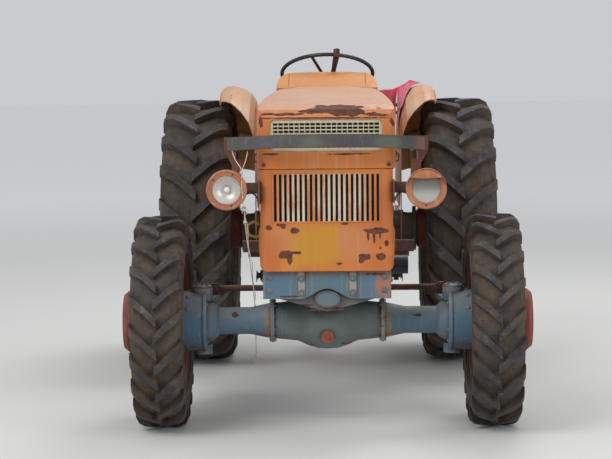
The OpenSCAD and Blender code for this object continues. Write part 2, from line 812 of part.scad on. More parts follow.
// Gearbox and rear axle
module gearbox() {
    half = gearbox_w / 2;
    y0 = engine_rear;
    color([0.36, 0.33, 0.3]) union() {
        difference() {
            along_x(-half - 30, half + 30) polygon([[y0, 520], [y0, gearbox_top],
                [housing_front, gearbox_top],
                [housing_front, 470], [y0 + 160, 470]]);
            both_sides() along_plan(440, 900) polygon([[half, y0 + 140], [half + 31, y0 + 70],
                [half + 31, housing_front + 1], [half, housing_front + 1]]);
        }
        for (i = [0:3], s = [-1, 1]) scale([s, 1, 1])
            box_at(half - 1, half + 8, y0 + 190 + i * 160, y0 + 202 + i * 160, 520, plate_z - 10);
        // Transfer case for the front drive
        box_at(-70, 70, y0 + 150, y0 + 330, 380, 471);
    }
}

module along_plan(z0, z1) {
    translate([0, 0, z0]) linear_extrude(z1 - z0) children();
}

module rear_axle_housing() {
    color([0.36, 0.33, 0.3]) difference() {
        union() {
            along_x(-150, 150) polygon([[housing_front, 470], [housing_front, 880], [housing_rear, 880],
                [housing_rear, 560], [housing_rear - 60, 470]]);
            box_at(-130, 130, housing_front + 40, housing_rear, 879, 950);
            // Trumpets with a brake housing and an end flange
            translate([0, rear_y, rear_hub_z]) both_sides() {
                about_x() polygon([[0, 140], [150, 140], [150, 215], [120, 228], [92, 260], [80, 400],
                    [80, trumpet_end - 16], [112, trumpet_end - 16], [112, trumpet_end], [0, trumpet_end]]);
            }
            both_sides()
                box_at(fender_x - 32, fender_x + 20, rear_y - 50, rear_y + 50, rear_hub_z, saddle_top);
            // Bearings of the rockshaft
            box_at(-110, 110, rockshaft_y - 38, rockshaft_y + 38, 949, rockshaft_z);
            translate([0, rockshaft_y, rockshaft_z]) tube_x(38, -110, 110);
            // Lugs and pins of the lower links
            box_at(-150, 150, link_front_y - 32, link_front_y + 32, 390, 471);
            translate([0, link_front_y, link_z]) tube_x(link_pin_r, -link_x - 22, link_x + 22);
            // Bracket of the top link
            both_sides() box_at(25, 37, housing_rear - 1, housing_rear + 60, 800, 875);
            translate([0, 0, 620]) tube_y(52, housing_rear - 1, housing_rear + 14);
        }
        both_sides() translate([0, rear_y, rear_hub_z])
            tube_x(axle_shaft_r + pin_gap, trumpet_end - 84, trumpet_end + 1);
        translate([0, rockshaft_y, rockshaft_z]) tube_x(rockshaft_r + pin_gap, -120, 120);
        translate([0, housing_rear + 35, 840]) tube_x(9.7, -40, 40);
    }
}

module front_driveshaft() {
    y0 = front_y + 210;
    y1 = engine_rear + 150;
    color([0.25, 0.24, 0.23]) translate([0, 0, 425]) union() {
        tube_y(26, y0, y1);
        tube_y(44, y0, y0 + 30);
        tube_y(40, y1 - 30, y1);
    }
}

module pto_shaft() {
    color([0.55, 0.53, 0.5]) translate([0, 0, 620]) tube_y(pto_r, housing_rear + 14, housing_rear + 104);
}

module drawbar() {
    y0 = link_front_y - 30;
    color([0.3, 0.22, 0.18]) difference() {
        union() {
            box_at(-32, 32, y0, housing_rear + 250, 358, 390);
            translate([0, housing_rear + 250, 358]) cylinder(r = 32, h = 32);
        }
        translate([0, housing_rear + 250, 350]) cylinder(r = drawbar_bore_r, h = 50);
    }
}

// Driver's place
module footplates() {
    y0 = engine_rear + 150;
    y1 = rear_y - panel_front + 70;
    color([0.4, 0.25, 0.18]) both_sides() union() {
        box_at(gearbox_w / 2, 400, y0 + 40, y1, plate_z, plate_z + plate_t);
        along_x(gearbox_w / 2, 400) polygon([[y0 + 41, plate_z], [y0 + 41, plate_z + plate_t],
            [y0, plate_z + 60], [y0 - 5, plate_z + 56]]);
        for (y = [y0 + 120, y1 - 60]) box_at(gearbox_w / 2, 380, y, y + 8, plate_z - 30, plate_z + 1);
    }
}

module pedals() {
    y = engine_rear + 180;
    // Places of the pedals: distance from the middle
    places = [-215, 205, 275];
    color([0.35, 0.2, 0.15]) for (x = places) {
        s = sign(x);
        union() {
            translate([0, y, 700]) tube_x(12, min(s * gearbox_w / 2, x), max(s * gearbox_w / 2, x));
            rod_between([x, y, 700], [x, y - 40, 800], 8);
            translate([x, y - 40, 800]) rotate([-30, 0, 0]) translate([-32, -6, -20]) cube([64, 12, 60]);
        }
    }
}

module levers() {
    color([0.12, 0.12, 0.12]) union() {
        // Gear levers: foot and knob places
        for (p = [[[-40, 340], [-75, 380]], [[50, 390], [90, 410]]]) {
            foot = [p[0][0], engine_rear + p[0][1], gearbox_top];
            start = foot + [0, 0, 10];
            knob = [p[1][0], engine_rear + p[1][1], gearbox_top + 230];
            along = unit(knob - start);
            translate(foot) cylinder(r = 26, h = 20);
            rod_between(start, knob, 7, seam = 40);
            rod_between(knob - 6 * along, knob + 26 * along, 16, seam = 40);
        }
    }
}

seat_z = 1070;
seat_y = rear_y - 230;
seat_half = 215;
seat_back_h = 290;

function seat_line(o) = [
    [seat_y, seat_z + o], [seat_y + 320 - o * 0.8, seat_z + o],
    [seat_y + 360 - o, seat_z + 40 + o * 0.4], [seat_y + 400 - o, seat_z + seat_back_h]];

module seat_frame() {
    w = seat_half;
    shell = concat(seat_line(5), [for (i = [3:-1:0]) seat_line(0)[i]]);
    color([0.25, 0.2, 0.18]) union() {
        along_x(-w, w) polygon(shell);
        both_sides() along_x(w - 5, w) polygon([[seat_y + 60, seat_z], [seat_y + 340, seat_z],
            [seat_y + 370, seat_z + 60], [seat_y + 372, seat_z + 120], [seat_y + 200, seat_z + 75],
            [seat_y + 80, seat_z + 40]]);
        box_at(-60, 60, seat_y + 60, seat_y + 180, 950, seat_z + 1);
        box_at(-90, 90, seat_y + 40, seat_y + 240, seat_z - 12, seat_z + 1);
    }
}

module seat_cushion() {
    w = seat_half - 10;
    g = 5 + seat_gap;
    pad = concat(seat_line(seat_pad), [for (i = [3:-1:0]) seat_line(g)[i]]);
    color([0.12, 0.11, 0.11]) along_x(-w, w) polygon(pad);
}

// Fenders: section of the crown, moved out by o, as [radius, distance out from the panel]
function fender_line(o) = [
    [fender_r - 120, -sheet - o], [fender_r - 74 + o * 0.3, 6 - o], [fender_r - 40 + o * 0.6, 28 - o * 0.8],
    [fender_r - 15 + o * 0.8, 66 - o * 0.6], [fender_r + o, 118], [fender_r - 4 + o, fender_w - 26],
    [fender_r - 14 + o * 0.7, fender_w - 5 + o * 0.7], [fender_r - 32, fender_w - 1 + o]];
fender_rear = 112;
fender_turn = 118;
panel_in_r = 150;
// Front ends of the panel and of the crown's outer edge, from the rear axle forward
panel_front = 430;
crown_front = 270;
// Height of the panel's front foot over the rear axle
foot_top = 390;
// The foot on the axle is thinner than the panel by this on each face
foot_in = 0.5;

module fender() {
    outer = fender_line(0);
    inner = fender_line(-sheet);
    skin = concat(outer, [for (i = [len(inner) - 1:-1:0]) inner[i]]);
    middle = fender_line(-sheet / 2);
    gusset = concat([for (i = [0:4]) middle[i]], [[fender_r - 50, 118], [fender_r - 52, 98],
        [fender_r - 100, 92], [fender_r - 150, -sheet / 2]]);
    translate([fender_x, rear_y, rear_hub_z]) difference() {
        union() {
            about_x(fender_turn, fender_rear) polygon(skin);
            for (a = [130, 165, 196]) about_x(0.8, a) polygon(gusset);
            // Inner panel, with its feet on the axle and on the footplate
            difference() {
                about_x(fender_turn, fender_rear) polygon([[panel_in_r, -sheet], [fender_r - 118, -sheet],
                    [fender_r - 118, 0], [panel_in_r, 0]]);
                box_at(-20, 20, -fender_r, fender_r, -fender_r, panel_z - rear_hub_z);
            }
            box_at(-sheet + foot_in, -foot_in, -45, 45, saddle_top - rear_hub_z, panel_in_r + 20);
            box_at(-sheet, 0, -panel_front, -panel_front + 60, plate_z + plate_t - rear_hub_z,
                foot_top);
        }
        // Slanted front end, from the panel out to the crown's outer corner
        along_plan(-fender_r, fender_r + 50) polygon([[-20, -fender_r - 50], [-20, -panel_front],
            [2, -panel_front], [fender_w + 10, -crown_front], [fender_w + 10, -fender_r - 50]]);
        // Holes for a marker lamp
        for (a = [200, 202.5]) rotate([a, 0, 0]) translate([118, 0, -fender_r - 20]) cylinder(r = 4, h = 40);
    }
}

module fender_side(side) {
    color([0.84, 0.52, 0.26]) scale([side, 1, 1]) fender();
}

// Front fittings
module at_bar() {
    translate([0, bar_y, bar_z + bar_h / 2]) rotate([-bar_tilt, 0, 0])
        translate([0, bar_r, -bar_h / 2]) children();
}

module front_bar() {
    half_angle = asin(bar_l / 2 / bar_r);
    color([0.31, 0.33, 0.31]) at_bar() rotate([0, 0, -90 - half_angle])
        rotate_extrude(angle = 2 * half_angle, $fn = 200)
            translate([bar_r - bar_t, 0]) square([bar_t, bar_h]);
}

module lamp_brackets() {
    color([0.42, 0.26, 0.2]) both_sides() union() {
        // Arm from the side of the grille box, post behind the lamp, and web to the bar
        box_at(box_w / 2 - waist_in, box_w / 2 - waist_in + 6, post_y - 60, post_y + 60, lamp_z - 60,
            lamp_z + 30);
        box_at(box_w / 2 - waist_in, lamp_x + 12, post_y, post_y + 8, lamp_z - 22, lamp_z + 22);
        along_y(post_y, post_y + 8) polygon([[lamp_x - 58, lamp_z - 22], [lamp_x - 16, lamp_z - 22],
            [lamp_x - 16, lamp_z + 95], [lamp_x + 14, bar_z - 18], [lamp_x + 14, bar_z + 36],
            [lamp_x - 58, bar_z + 36]]);
        intersection() {
            box_at(lamp_x - 36, lamp_x - 30, bar_y, post_y + 1, bar_z - 52, bar_z + 36);
            at_bar() translate([0, 0, -500]) cylinder(r = bar_r - bar_t, h = 1000, $fn = 200);
        }
    }
}

// Lamp drawn along +Y from its rim, as [radius, depth]
module lamp_turned() {
    translate([0, lamp_y, lamp_z]) rotate([-90, 0, 0]) rotate_extrude() children();
}

module lamp_bowls() {
    depth = post_y - lamp_y - 12;
    color([0.85, 0.55, 0.35]) both_sides() translate([lamp_x, 0, 0]) lamp_turned()
        polygon([[lamp_r - 5, 0], [lamp_r, 0], [lamp_r, 12], [lamp_r - 4, 16], [lamp_r - 12, 50],
            [lamp_r - 38, depth - 8], [lamp_r - 56, depth], [12, depth], [12, post_y - lamp_y],
            [0, post_y - lamp_y],
            [0, depth - 4], [lamp_r - 58, depth - 4], [lamp_r - 41, depth - 12], [lamp_r - 16, 48],
            [lamp_r - 9, 16], [lamp_r - 5, 14]]);
    // Visor over the lamp at +X
    color([0.85, 0.55, 0.35]) translate([lamp_x, lamp_y, lamp_z]) rotate([90, 0, 0]) rotate([0, 0, 12])
        rotate_extrude(angle = 156)
            polygon([[lamp_r - 3, -2], [lamp_r, -2], [lamp_r, 20], [lamp_r - 3, 20]]);
}

module lamp_lens() {
    color([0.85, 0.88, 0.9]) translate([lamp_x, 0, 0]) lamp_turned()
        polygon([[0, -4], [30, -3], [58, 1], [lamp_r - 5 - seat_gap, 7], [lamp_r - 5 - seat_gap, 13],
            [58, 7], [30, 3], [0, 2]]);
}

// Soft things that hang on the tractor
module cloth() {
    top = fender_line(seat_gap + 1);
    side = -sheet - seat_gap;
    over_fender = [[fender_r - 330, side], [fender_r - 118, side], top[1], top[2], top[3], [top[4][0], 112],
        [fender_r + 14, 108], [fender_r + 14, 58], [fender_r - 20, 20], [fender_r - 70, side - 16],
        [fender_r - 330, side - 18]];
    // Top strip and curtain between the back of the seat and the fender
    seat_x = seat_half + 1.5;
    back_z = seat_z + seat_back_h + seat_gap;
    strip = [[160, back_z], [seat_x, back_z], [seat_x + 10, back_z - 14], [fender_x - 27, back_z - 8],
        [fender_x + 28, back_z + 2], [fender_x + 28, back_z + 14], [fender_x - 27, back_z + 6],
        [seat_x + 10, back_z], [seat_x, back_z + 14], [160, back_z + 14]];
    curtain = [[seat_x + 10, back_z - 7], [seat_x + 10, back_z - 110], [seat_x + 45, back_z - 230],
        [fender_x - 57, back_z - 292], [fender_x - 20, back_z - 300], [fender_x - 17, back_z - 50],
        [fender_x + 11, back_z - 4]];
    color([0.8, 0.3, 0.38]) union() {
        translate([fender_x, rear_y, rear_hub_z]) about_x(angle = 17, from = 164) polygon(over_fender);
        along_y(rear_y + 65, rear_y + 175) polygon(strip);
        along_y(rear_y + 65, rear_y + 83) polygon(curtain);
    }
}

// Route of the twine from the bar down and round the axle
twine_d = 4;
twine_x = -302;
twine_turn_r = 62.8;
twine_route = concat([[-375, -1461.2, 1158.6], [-372, -1465, 1149], [-365, -1473, 1130],
    [-354, -1484, 1112], [-342, -1496, 1096], [-336, -1504, 1078], [-335.5, -1507.5, 1058],
    [-336, -1507.5, 1030], [-335, -1507.5, 1002], [-333, -1507.5, 975], [-330, -1507.5, 950],
    [-327, -1507, 922], [-325, -1505, 890], [-323, -1500, 858], [-320, -1491, 826], [-317, -1478, 794],
    [-314, -1458, 762], [-312, -1432, 730], [-310, -1398, 698], [-308, -1358, 664], [-306, -1316, 628],
    [-304, -1276, 590], [-303, -1238, 553], [twine_x, -1206, 522]],
    [for (a = [-15:15:90])
        [twine_x, front_y + twine_turn_r * sin(a), front_hub_z + twine_turn_r * cos(a)]],
    [for (z = [400:-36:292]) [twine_x, front_y + twine_turn_r, z]]);

function unit(v) = v / norm(v);
function tangent(p, i) = unit(p[min(i + 1, len(p) - 1)] - p[max(i - 1, 0)]);
function ring(p, i, r, n) =
    let (t = tangent(p, i), a = unit(cross(t, [1, 0, 0.03])), b = cross(t, a))
    [for (k = [0:n - 1]) p[i] + r * (a * cos(360 * k / n) + b * sin(360 * k / n))];

module twine() {
    n = 8;
    p = twine_route;
    m = len(p);
    points = [for (i = [0:m - 1]) each ring(p, i, twine_d / 2, n)];
    walls = [for (i = [0:m - 2], k = [0:n - 1]) each [
        [i * n + k, (i + 1) * n + (k + 1) % n, i * n + (k + 1) % n],
        [i * n + k, (i + 1) * n + k, (i + 1) * n + (k + 1) % n]]];
    ends = [[for (k = [0:n - 1]) k], [for (k = [n - 1:-1:0]) (m - 1) * n + k]];
    color([0.85, 0.83, 0.76]) polyhedron(concat(points), concat(walls, ends));
}

// Hitch
lift_end_y = rockshaft_y + lift_arm_l * cos(lift_arm_up);
lift_end_z = rockshaft_z + lift_arm_l * sin(lift_arm_up);
lift_pin_r = 9;

module lift_arms() {
    color([0.4, 0.3, 0.25]) union() {
        translate([0, rockshaft_y, rockshaft_z]) tube_x(rockshaft_r, -lift_arm_x - 22, lift_arm_x + 22);
        both_sides() {
            along_x(lift_arm_x - 11, lift_arm_x + 11) hull() {
                translate([rockshaft_y, rockshaft_z]) circle(r = 36, $fn = 32);
                translate([lift_end_y, lift_end_z]) circle(r = 20, $fn = 32);
            }
            translate([0, lift_end_y, lift_end_z]) tube_x(lift_pin_r, lift_arm_x, lift_arm_x + 44);
        }
    }
}

module lift_rod() {
    x0 = lift_arm_x + 16;
    x1 = link_x - 46;
    y1 = lift_end_y + 4;
    color([0.35, 0.27, 0.22]) difference() {
        union() {
            translate([0, lift_end_y, lift_end_z]) tube_x(20, x0, x0 + 22);
            rod_between([x0 + 11, lift_end_y, lift_end_z - 10], [x1 + 11, y1, link_z], 11);
            rod_between([x0 + 20, lift_end_y, lift_end_z - 120], [x1 - 5, y1, link_z + 120], 17);
            translate([0, y1, link_z]) tube_x(24, x1, x1 + 26);
        }
        translate([0, lift_end_y, lift_end_z]) tube_x(lift_pin_r + pin_gap, x0 - 10, x0 + 40);
    }
}

module lower_link() {
    y1 = rear_y + rear_reach - link_eye_r;
    x0 = link_x - 12;
    x1 = link_x + 13;
    color([0.4, 0.3, 0.25]) difference() {
        union() {
            box_at(x0 + 4, x1 - 5, link_front_y, y1, link_z - 24, link_z + 24);
            translate([0, link_front_y, link_z]) tube_x(28, x0, x1);
            translate([0, y1, link_z]) tube_x(link_eye_r, x0 - 5, x1 + 5);
        }
        translate([0, link_front_y, link_z]) tube_x(link_pin_r + pin_gap, x0 - 1, x1 + 1);
        translate([0, y1, link_z]) tube_x(link_bore_r, x0 - 6, x1 + 6);
    }
}

front_bracket();
front_axle_beam();
grille_box();
radiator();
engine_block();
cylinder_head();
exhaust();
injection_pump();
cooling_fan();
oil_filter();
air_cleaner();
gearbox();
rear_axle_housing();
front_driveshaft();
cowl();
steering_column();
footplates();
pedals();
levers();
seat_frame();
seat_cushion();
fender_side(-1);  // fender_left
fender_side(1);  // fender_right
front_bar();
lamp_brackets();
lamp_bowls();
lamp_lens();
pto_shaft();
drawbar();
cloth();
twine();
bonnet();
mesh_grille();
steering_wheel();
scale([-1, 1, 1]) knuckle();  // knuckle_left
knuckle();  // knuckle_right
tie_rod();
front_rim(-1);  // front_rim_left
front_rim(1);  // front_rim_right
front_tyre(-1);  // front_tyre_left
front_tyre(1);  // front_tyre_right
rear_rim(-1);  // rear_rim_left
rear_rim(1);  // rear_rim_right
rear_tyre(-1);  // rear_tyre_left
rear_tyre(1);  // rear_tyre_right
lift_arms();
scale([-1, 1, 1]) lower_link();  // lower_link_left
lower_link();  // lower_link_right
scale([-1, 1, 1]) lift_rod();  // lift_rod_left
lift_rod();  // lift_rod_right
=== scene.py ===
import itertools
import json
import math
import random

import bmesh
import bpy
from mathutils import Matrix, Vector


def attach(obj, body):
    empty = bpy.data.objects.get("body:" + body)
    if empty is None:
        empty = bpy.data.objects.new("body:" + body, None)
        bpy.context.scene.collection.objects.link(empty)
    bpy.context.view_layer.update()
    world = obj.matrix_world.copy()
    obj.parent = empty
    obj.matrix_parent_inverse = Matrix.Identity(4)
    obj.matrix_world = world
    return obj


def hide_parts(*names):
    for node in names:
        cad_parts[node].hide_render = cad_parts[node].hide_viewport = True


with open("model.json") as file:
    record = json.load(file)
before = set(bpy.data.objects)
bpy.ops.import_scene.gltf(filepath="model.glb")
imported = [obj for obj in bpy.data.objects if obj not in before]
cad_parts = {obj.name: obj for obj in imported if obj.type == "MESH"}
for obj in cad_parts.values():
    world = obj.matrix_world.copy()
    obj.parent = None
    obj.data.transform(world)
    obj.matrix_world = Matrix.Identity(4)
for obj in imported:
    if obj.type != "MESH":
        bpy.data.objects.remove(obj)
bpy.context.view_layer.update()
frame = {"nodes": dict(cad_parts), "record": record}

# Camera, fitted to the photograph's frame of 612 x 459 pixels
IMAGE_W = 612
FOCAL_PX = 2064
SENSOR_W = 36
CAMERA_AT = (0.044, -9.687, 1.528)
PITCH_DOWN = 4.764
YAW_LEFT = 0.883
ROLL = -0.495

# Places of the CAD model, in metres
FRONT_Y, FRONT_Z, FRONT_R = -1.17, 0.44, 0.44
REAR_Y, REAR_Z, REAR_R = 0.78, 0.66, 0.66
NOSE_Y = -1.42
LAMP_X, LAMP_Y, LAMP_Z = 0.397, -1.505, 1.005
# The mesh over the nose: half its width, its lowest and highest place, and a hole's pitch each way
MESH_HALF, MESH_LOW, MESH_HIGH = 0.214, 1.164, 1.269
MESH_ACROSS, MESH_UP = 0.0214, 0.015


def make_camera():
    data = bpy.data.cameras.new("camera")
    data.lens = FOCAL_PX * SENSOR_W / IMAGE_W
    data.sensor_width = SENSOR_W
    data.clip_end = 200
    camera = bpy.data.objects.new("camera", data)
    turn = (Matrix.Rotation(math.radians(YAW_LEFT), 4, "Z")
            @ Matrix.Rotation(math.radians(90 - PITCH_DOWN), 4, "X")
            @ Matrix.Rotation(math.radians(ROLL), 4, "Z"))
    camera.matrix_world = Matrix.Translation(CAMERA_AT) @ turn
    bpy.context.collection.objects.link(camera)
    bpy.context.scene.camera = camera


make_camera()


# Meshes
def add_mesh(name, points, faces, material=None, body=None, smooth=True):
    """A mesh object from points and faces, riding on a body."""
    mesh = bpy.data.meshes.new(name)
    mesh.from_pydata([tuple(p) for p in points], [], faces)
    mesh.validate()
    mesh.update()
    if smooth:
        mesh.shade_smooth()
    obj = bpy.data.objects.new(name, mesh)
    bpy.context.collection.objects.link(obj)
    if material:
        mesh.materials.append(material)
    if body:
        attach(obj, body)
    return obj


def frame_along(direction):
    """Two directions square to the given one."""
    d = Vector(direction).normalized()
    side = d.cross(Vector((0, 0, 1))) if abs(d.z) < 0.9 else d.cross(Vector((1, 0, 0)))
    side.normalize()
    return side, d.cross(side).normalized()


def spokes(along, count, turn=0.0):
    """Directions square to the given one, evenly round it."""
    u, v = frame_along(along)
    turns = [2 * math.pi * (k + turn) / count for k in range(count)]
    return [u * math.cos(a) + v * math.sin(a) for a in turns]


def faces_between(rows, sides, closed):
    """Faces between rows of points, each row a ring; the two end rows are joined or closed by a face."""
    faces = []
    for i in range(rows if closed else rows - 1):
        j = (i + 1) % rows
        for k in range(sides):
            n = (k + 1) % sides
            faces.append((i * sides + k, i * sides + n, j * sides + n, j * sides + k))
    if not closed:
        faces.append(tuple(range(sides))[::-1])
        faces.append(tuple((rows - 1) * sides + k for k in range(sides)))
    return faces


class Shape:
    """Points and faces gathered from several simple forms into one piece."""

    def __init__(self):
        self.points = []
        self.faces = []

    def add(self, points, faces):
        first = len(self.points)
        self.points += [Vector(p) for p in points]
        self.faces += [tuple(first + i for i in f) for f in faces]

    def lathe(self, profile, at, along, sides=24, closed=False):
        """Turns a profile of (radius, distance along) about an axis; a closed one has no end faces."""
        at, along = Vector(at), Vector(along).normalized()
        points = [at + along * h + out * r for r, h in profile for out in spokes(along, sides)]
        self.add(points, faces_between(len(profile), sides, closed))

    def ring(self, profile, at, along, sides=32):
        """Turns a closed profile of (radius, distance along) about an axis."""
        self.lathe(profile, at, along, sides, True)

    def hoop(self, at, along, radius, thick, sides=64, around=8):
        """A thin round hoop."""
        turns = [2 * math.pi * k / around for k in range(around)]
        profile = [(radius + thick * math.cos(a), thick * math.sin(a)) for a in turns]
        self.ring(profile, at, along, sides)

    def bolts_round(self, at, along, radius, count, size, height=0.007, turn=0.0, washer=False):
        """Bolt heads in a circle about an axis."""
        for out in spokes(along, count, turn):
            self.bolt(Vector(at) + out * radius, along, size, height, washer)

    def tube(self, path, radius, sides=10, closed=False):
        """A round tube along a path; radius is a number or one for each point."""
        path = [Vector(p) for p in path]
        count = len(path)
        radii = [radius] * count if isinstance(radius, (int, float)) else radius
        side = None
        points = []
        for i, p in enumerate(path):
            before = path[(i - 1) % count] if closed or i > 0 else p
            after = path[(i + 1) % count] if closed or i < count - 1 else p
            d = (after - before).normalized()
            if side is None:
                side, _ = frame_along(d)
            side = (side - d * side.dot(d)).normalized()
            up = d.cross(side)
            for k in range(sides):
                a = 2 * math.pi * k / sides
                points.append(p + (side * math.cos(a) + up * math.sin(a)) * radii[i])
        self.add(points, faces_between(count, sides, closed))

    def block(self, low, high, bevel=0.002):
        """A box with its edges cut off."""
        low, high = Vector(low), Vector(high)
        mid, half = (low + high) / 2, (high - low) / 2
        points, index, faces = [], {}, []
        corners = list(itertools.product((-1, 1), repeat=3))
        for corner in corners:
            for axis in range(3):
                cut = [half[i] - (0 if i == axis else bevel) for i in range(3)]
                index[(*corner, axis)] = len(points)
                points.append(mid + Vector([s * c for s, c in zip(corner, cut)]))

        def signs(axis, *values):
            """A corner from its sign on one axis and on the two others."""
            s, p, q = values
            return ((s, p, q), (p, s, q), (p, q, s))[axis]

        for axis in range(3):
            a, b = [i for i in range(3) if i != axis]
            for s in (-1, 1):
                ring = [index[(*signs(axis, s, p, q), axis)] for p, q in ((-1, -1), (1, -1), (1, 1), (-1, 1))]
                faces.append(tuple(ring if (s > 0) == (axis != 1) else ring[::-1]))
            for p, q in itertools.product((-1, 1), repeat=2):
                low_end, high_end = signs(axis, -1, p, q), signs(axis, 1, p, q)
                faces.append((index[(*low_end, a)], index[(*low_end, b)],
                              index[(*high_end, b)], index[(*high_end, a)]))
        faces += [tuple(index[(*corner, axis)] for axis in range(3)) for corner in corners]
        self.add(points, faces)

    def bolt(self, at, along, size=0.008, height=0.007, washer=True):
        """A hexagon head on a washer, seen from outside along the given direction."""
        if washer:
            self.lathe([(size * 1.5, -0.001), (size * 1.5, 0.0012), (size * 1.4, 0.002)], at, along, 16)
        head = [(size, 0.001), (size, height * 0.8), (size * 0.86, height)]
        self.lathe(head, at, along, 6)

    def made(self, name, finish, body="chassis", smooth=True, angle=40):
        """The piece of this shape, with a finish of M, riding on the given body or else on the chassis."""
        obj = add_mesh(name, self.points, self.faces, M[finish], body, smooth)
        tidy_normals(obj)
        if smooth:
            obj.data.set_sharp_from_angle(angle=math.radians(angle))
        return obj


def tidy_normals(obj):
    """Turns all faces outward."""
    work = bmesh.new()
    work.from_mesh(obj.data)
    bmesh.ops.recalc_face_normals(work, faces=work.faces)
    work.to_mesh(obj.data)
    work.free()


def smooth_path(points, step):
    """Points a fixed step apart on a smooth curve through the given ones."""
    p = [Vector(q) for q in points]
    p = [2 * p[0] - p[1]] + p + [2 * p[-1] - p[-2]]
    fine = []
    for i in range(1, len(p) - 2):
        for k in range(24):
            t = k / 24
            a, b, c, d = p[i - 1:i + 3]
            fine.append(0.5 * (2 * b + (c - a) * t + (2 * a - 5 * b + 4 * c - d) * t * t
                               + (3 * b - a - 3 * c + d) * t ** 3))
    fine.append(p[-2])
    lengths = [0.0]
    for a, b in zip(fine, fine[1:]):
        lengths.append(lengths[-1] + (b - a).length)
    count = max(2, round(lengths[-1] / step))
    out = []
    j = 0
    for k in range(count + 1):
        want = lengths[-1] * k / count
        while j < len(fine) - 2 and lengths[j + 1] < want:
            j += 1
        share = (want - lengths[j]) / max(lengths[j + 1] - lengths[j], 1e-9)
        out.append(fine[j].lerp(fine[j + 1], share))
    return out


# Materials
def rgb(r, g, b):
    """A colour given in the usual 0 to 255 steps, as the shader's linear values."""
    return tuple((c / 255 / 12.92) if c <= 10 else ((c / 255 + 0.055) / 1.055) ** 2.4
                 for c in (r, g, b)) + (1.0,)


class Graph:
    """One material's nodes. A value is a node's output, a number or a colour."""

    def __init__(self, name):
        self.material = bpy.data.materials.new(name)
        self.material.use_nodes = True
        self.tree = self.material.node_tree
        self.tree.nodes.clear()
        self.where = self.add("TexCoord").outputs["Object"]
        self.shader = self.add("BsdfPrincipled")
        self.tree.links.new(self.shader.outputs[0], self.add("OutputMaterial").inputs[0])

    def add(self, kind, **settings):
        node = self.tree.nodes.new("ShaderNode" + kind)
        for key, value in settings.items():
            setattr(node, key, value)
        return node

    def put(self, socket, value):
        if isinstance(value, bpy.types.NodeSocket):
            self.tree.links.new(value, socket)
        else:
            socket.default_value = value

    def set(self, **values):
        for key, value in values.items():
            self.put(self.shader.inputs[key.replace("_", " ")], value)

    def math(self, operation, a, b=0.0, clamp=False):
        node = self.add("Math", operation=operation, use_clamp=clamp)
        self.put(node.inputs[0], a)
        self.put(node.inputs[1], b)
        return node.outputs[0]

    def step(self, value, low, high, to_low=0.0, to_high=1.0):
        node = self.add("MapRange", interpolation_type="SMOOTHSTEP")
        for socket, v in zip(node.inputs, (value, low, high, to_low, to_high)):
            self.put(socket, v)
        return node.outputs[0]

    def times(self, a, b, clamp=False):
        return self.math("MULTIPLY", a, b, clamp)

    def plus(self, a, b):
        return self.math("ADD", a, b)

    def minus(self, a, b):
        return self.math("SUBTRACT", a, b)

    def vector(self, operation, *values):
        node = self.add("VectorMath", operation=operation)
        for socket, value in zip(node.inputs, values):
            self.put(socket, value)
        return node.outputs["Value" if operation in ("LENGTH", "DOT_PRODUCT") else "Vector"]

    def mix(self, share, a, b):
        node = self.add("Mix", data_type="RGBA")
        self.put(node.inputs[0], share)
        self.put(node.inputs[6], a)
        self.put(node.inputs[7], b)
        return node.outputs[2]

    def stretched(self, x, y, z, moved=(0, 0, 0)):
        node = self.add("Mapping")
        self.put(node.inputs["Vector"], self.where)
        node.inputs["Location"].default_value = moved
        node.inputs["Scale"].default_value = (x, y, z)
        return node.outputs[0]

    def noise(self, scale, detail=4.0, roughness=0.55, at=None):
        node = self.add("TexNoise")
        self.put(node.inputs["Vector"], at or self.where)
        node.inputs["Scale"].default_value = scale
        node.inputs["Detail"].default_value = detail
        node.inputs["Roughness"].default_value = roughness
        return node.outputs["Fac"]

    def cells(self, scale, feature):
        node = self.add("TexVoronoi", feature=feature)
        self.put(node.inputs["Vector"], self.where)
        node.inputs["Scale"].default_value = scale
        return node.outputs["Distance"]

    def axis(self, name, vector=None):
        node = self.add("SeparateXYZ")
        self.put(node.inputs[0], vector or self.where)
        return node.outputs[name]

    def facing_up(self):
        return self.axis("Z", self.tree.nodes["Texture Coordinate"].outputs["Normal"])

    def edges(self, radius):
        """1 on sharp outer edges, 0 on flat faces."""
        bevel = self.add("Bevel", samples=4)
        bevel.inputs["Radius"].default_value = radius
        true = self.add("NewGeometry").outputs["Normal"]
        return self.step(self.vector("DOT_PRODUCT", bevel.outputs[0], true), 0.99, 0.8)

    def hidden(self, distance):
        """1 in corners and gaps, where shade falls, 0 on open faces: the mask for painted shade."""
        node = self.add("AmbientOcclusion", samples=4)
        node.inputs["Distance"].default_value = distance
        return self.minus(1.0, node.outputs["AO"])

    def marks(self, places, ragged=0.5, scale=30, soft=0.05):
        """1 inside ragged spots: each place is a middle and three half sizes, in metres."""
        node = self.add("TexNoise")
        self.put(node.inputs["Vector"], self.where)
        node.inputs["Scale"].default_value = scale
        node.inputs["Detail"].default_value = 5.0
        noise = node.outputs["Color"]
        nearest = 10.0
        for middle, half in places:
            offset = self.vector("SUBTRACT", self.where, middle)
            scaled = self.vector("MULTIPLY", offset, [1 / h for h in half])
            blurred = self.vector("MULTIPLY_ADD", noise, (4 * ragged,) * 3, scaled)
            centred = self.vector("SUBTRACT", blurred, (2 * ragged,) * 3)
            nearest = self.math("MINIMUM", nearest, self.vector("LENGTH", centred))
        return self.step(nearest, 1.0 + soft, 1.0 - soft)

    def bump(self, height, distance, strength=1.0):
        node = self.add("Bump")
        node.inputs["Strength"].default_value = strength
        node.inputs["Distance"].default_value = distance
        self.put(node.inputs["Height"], height)
        self.put(self.shader.inputs["Normal"], node.outputs[0])


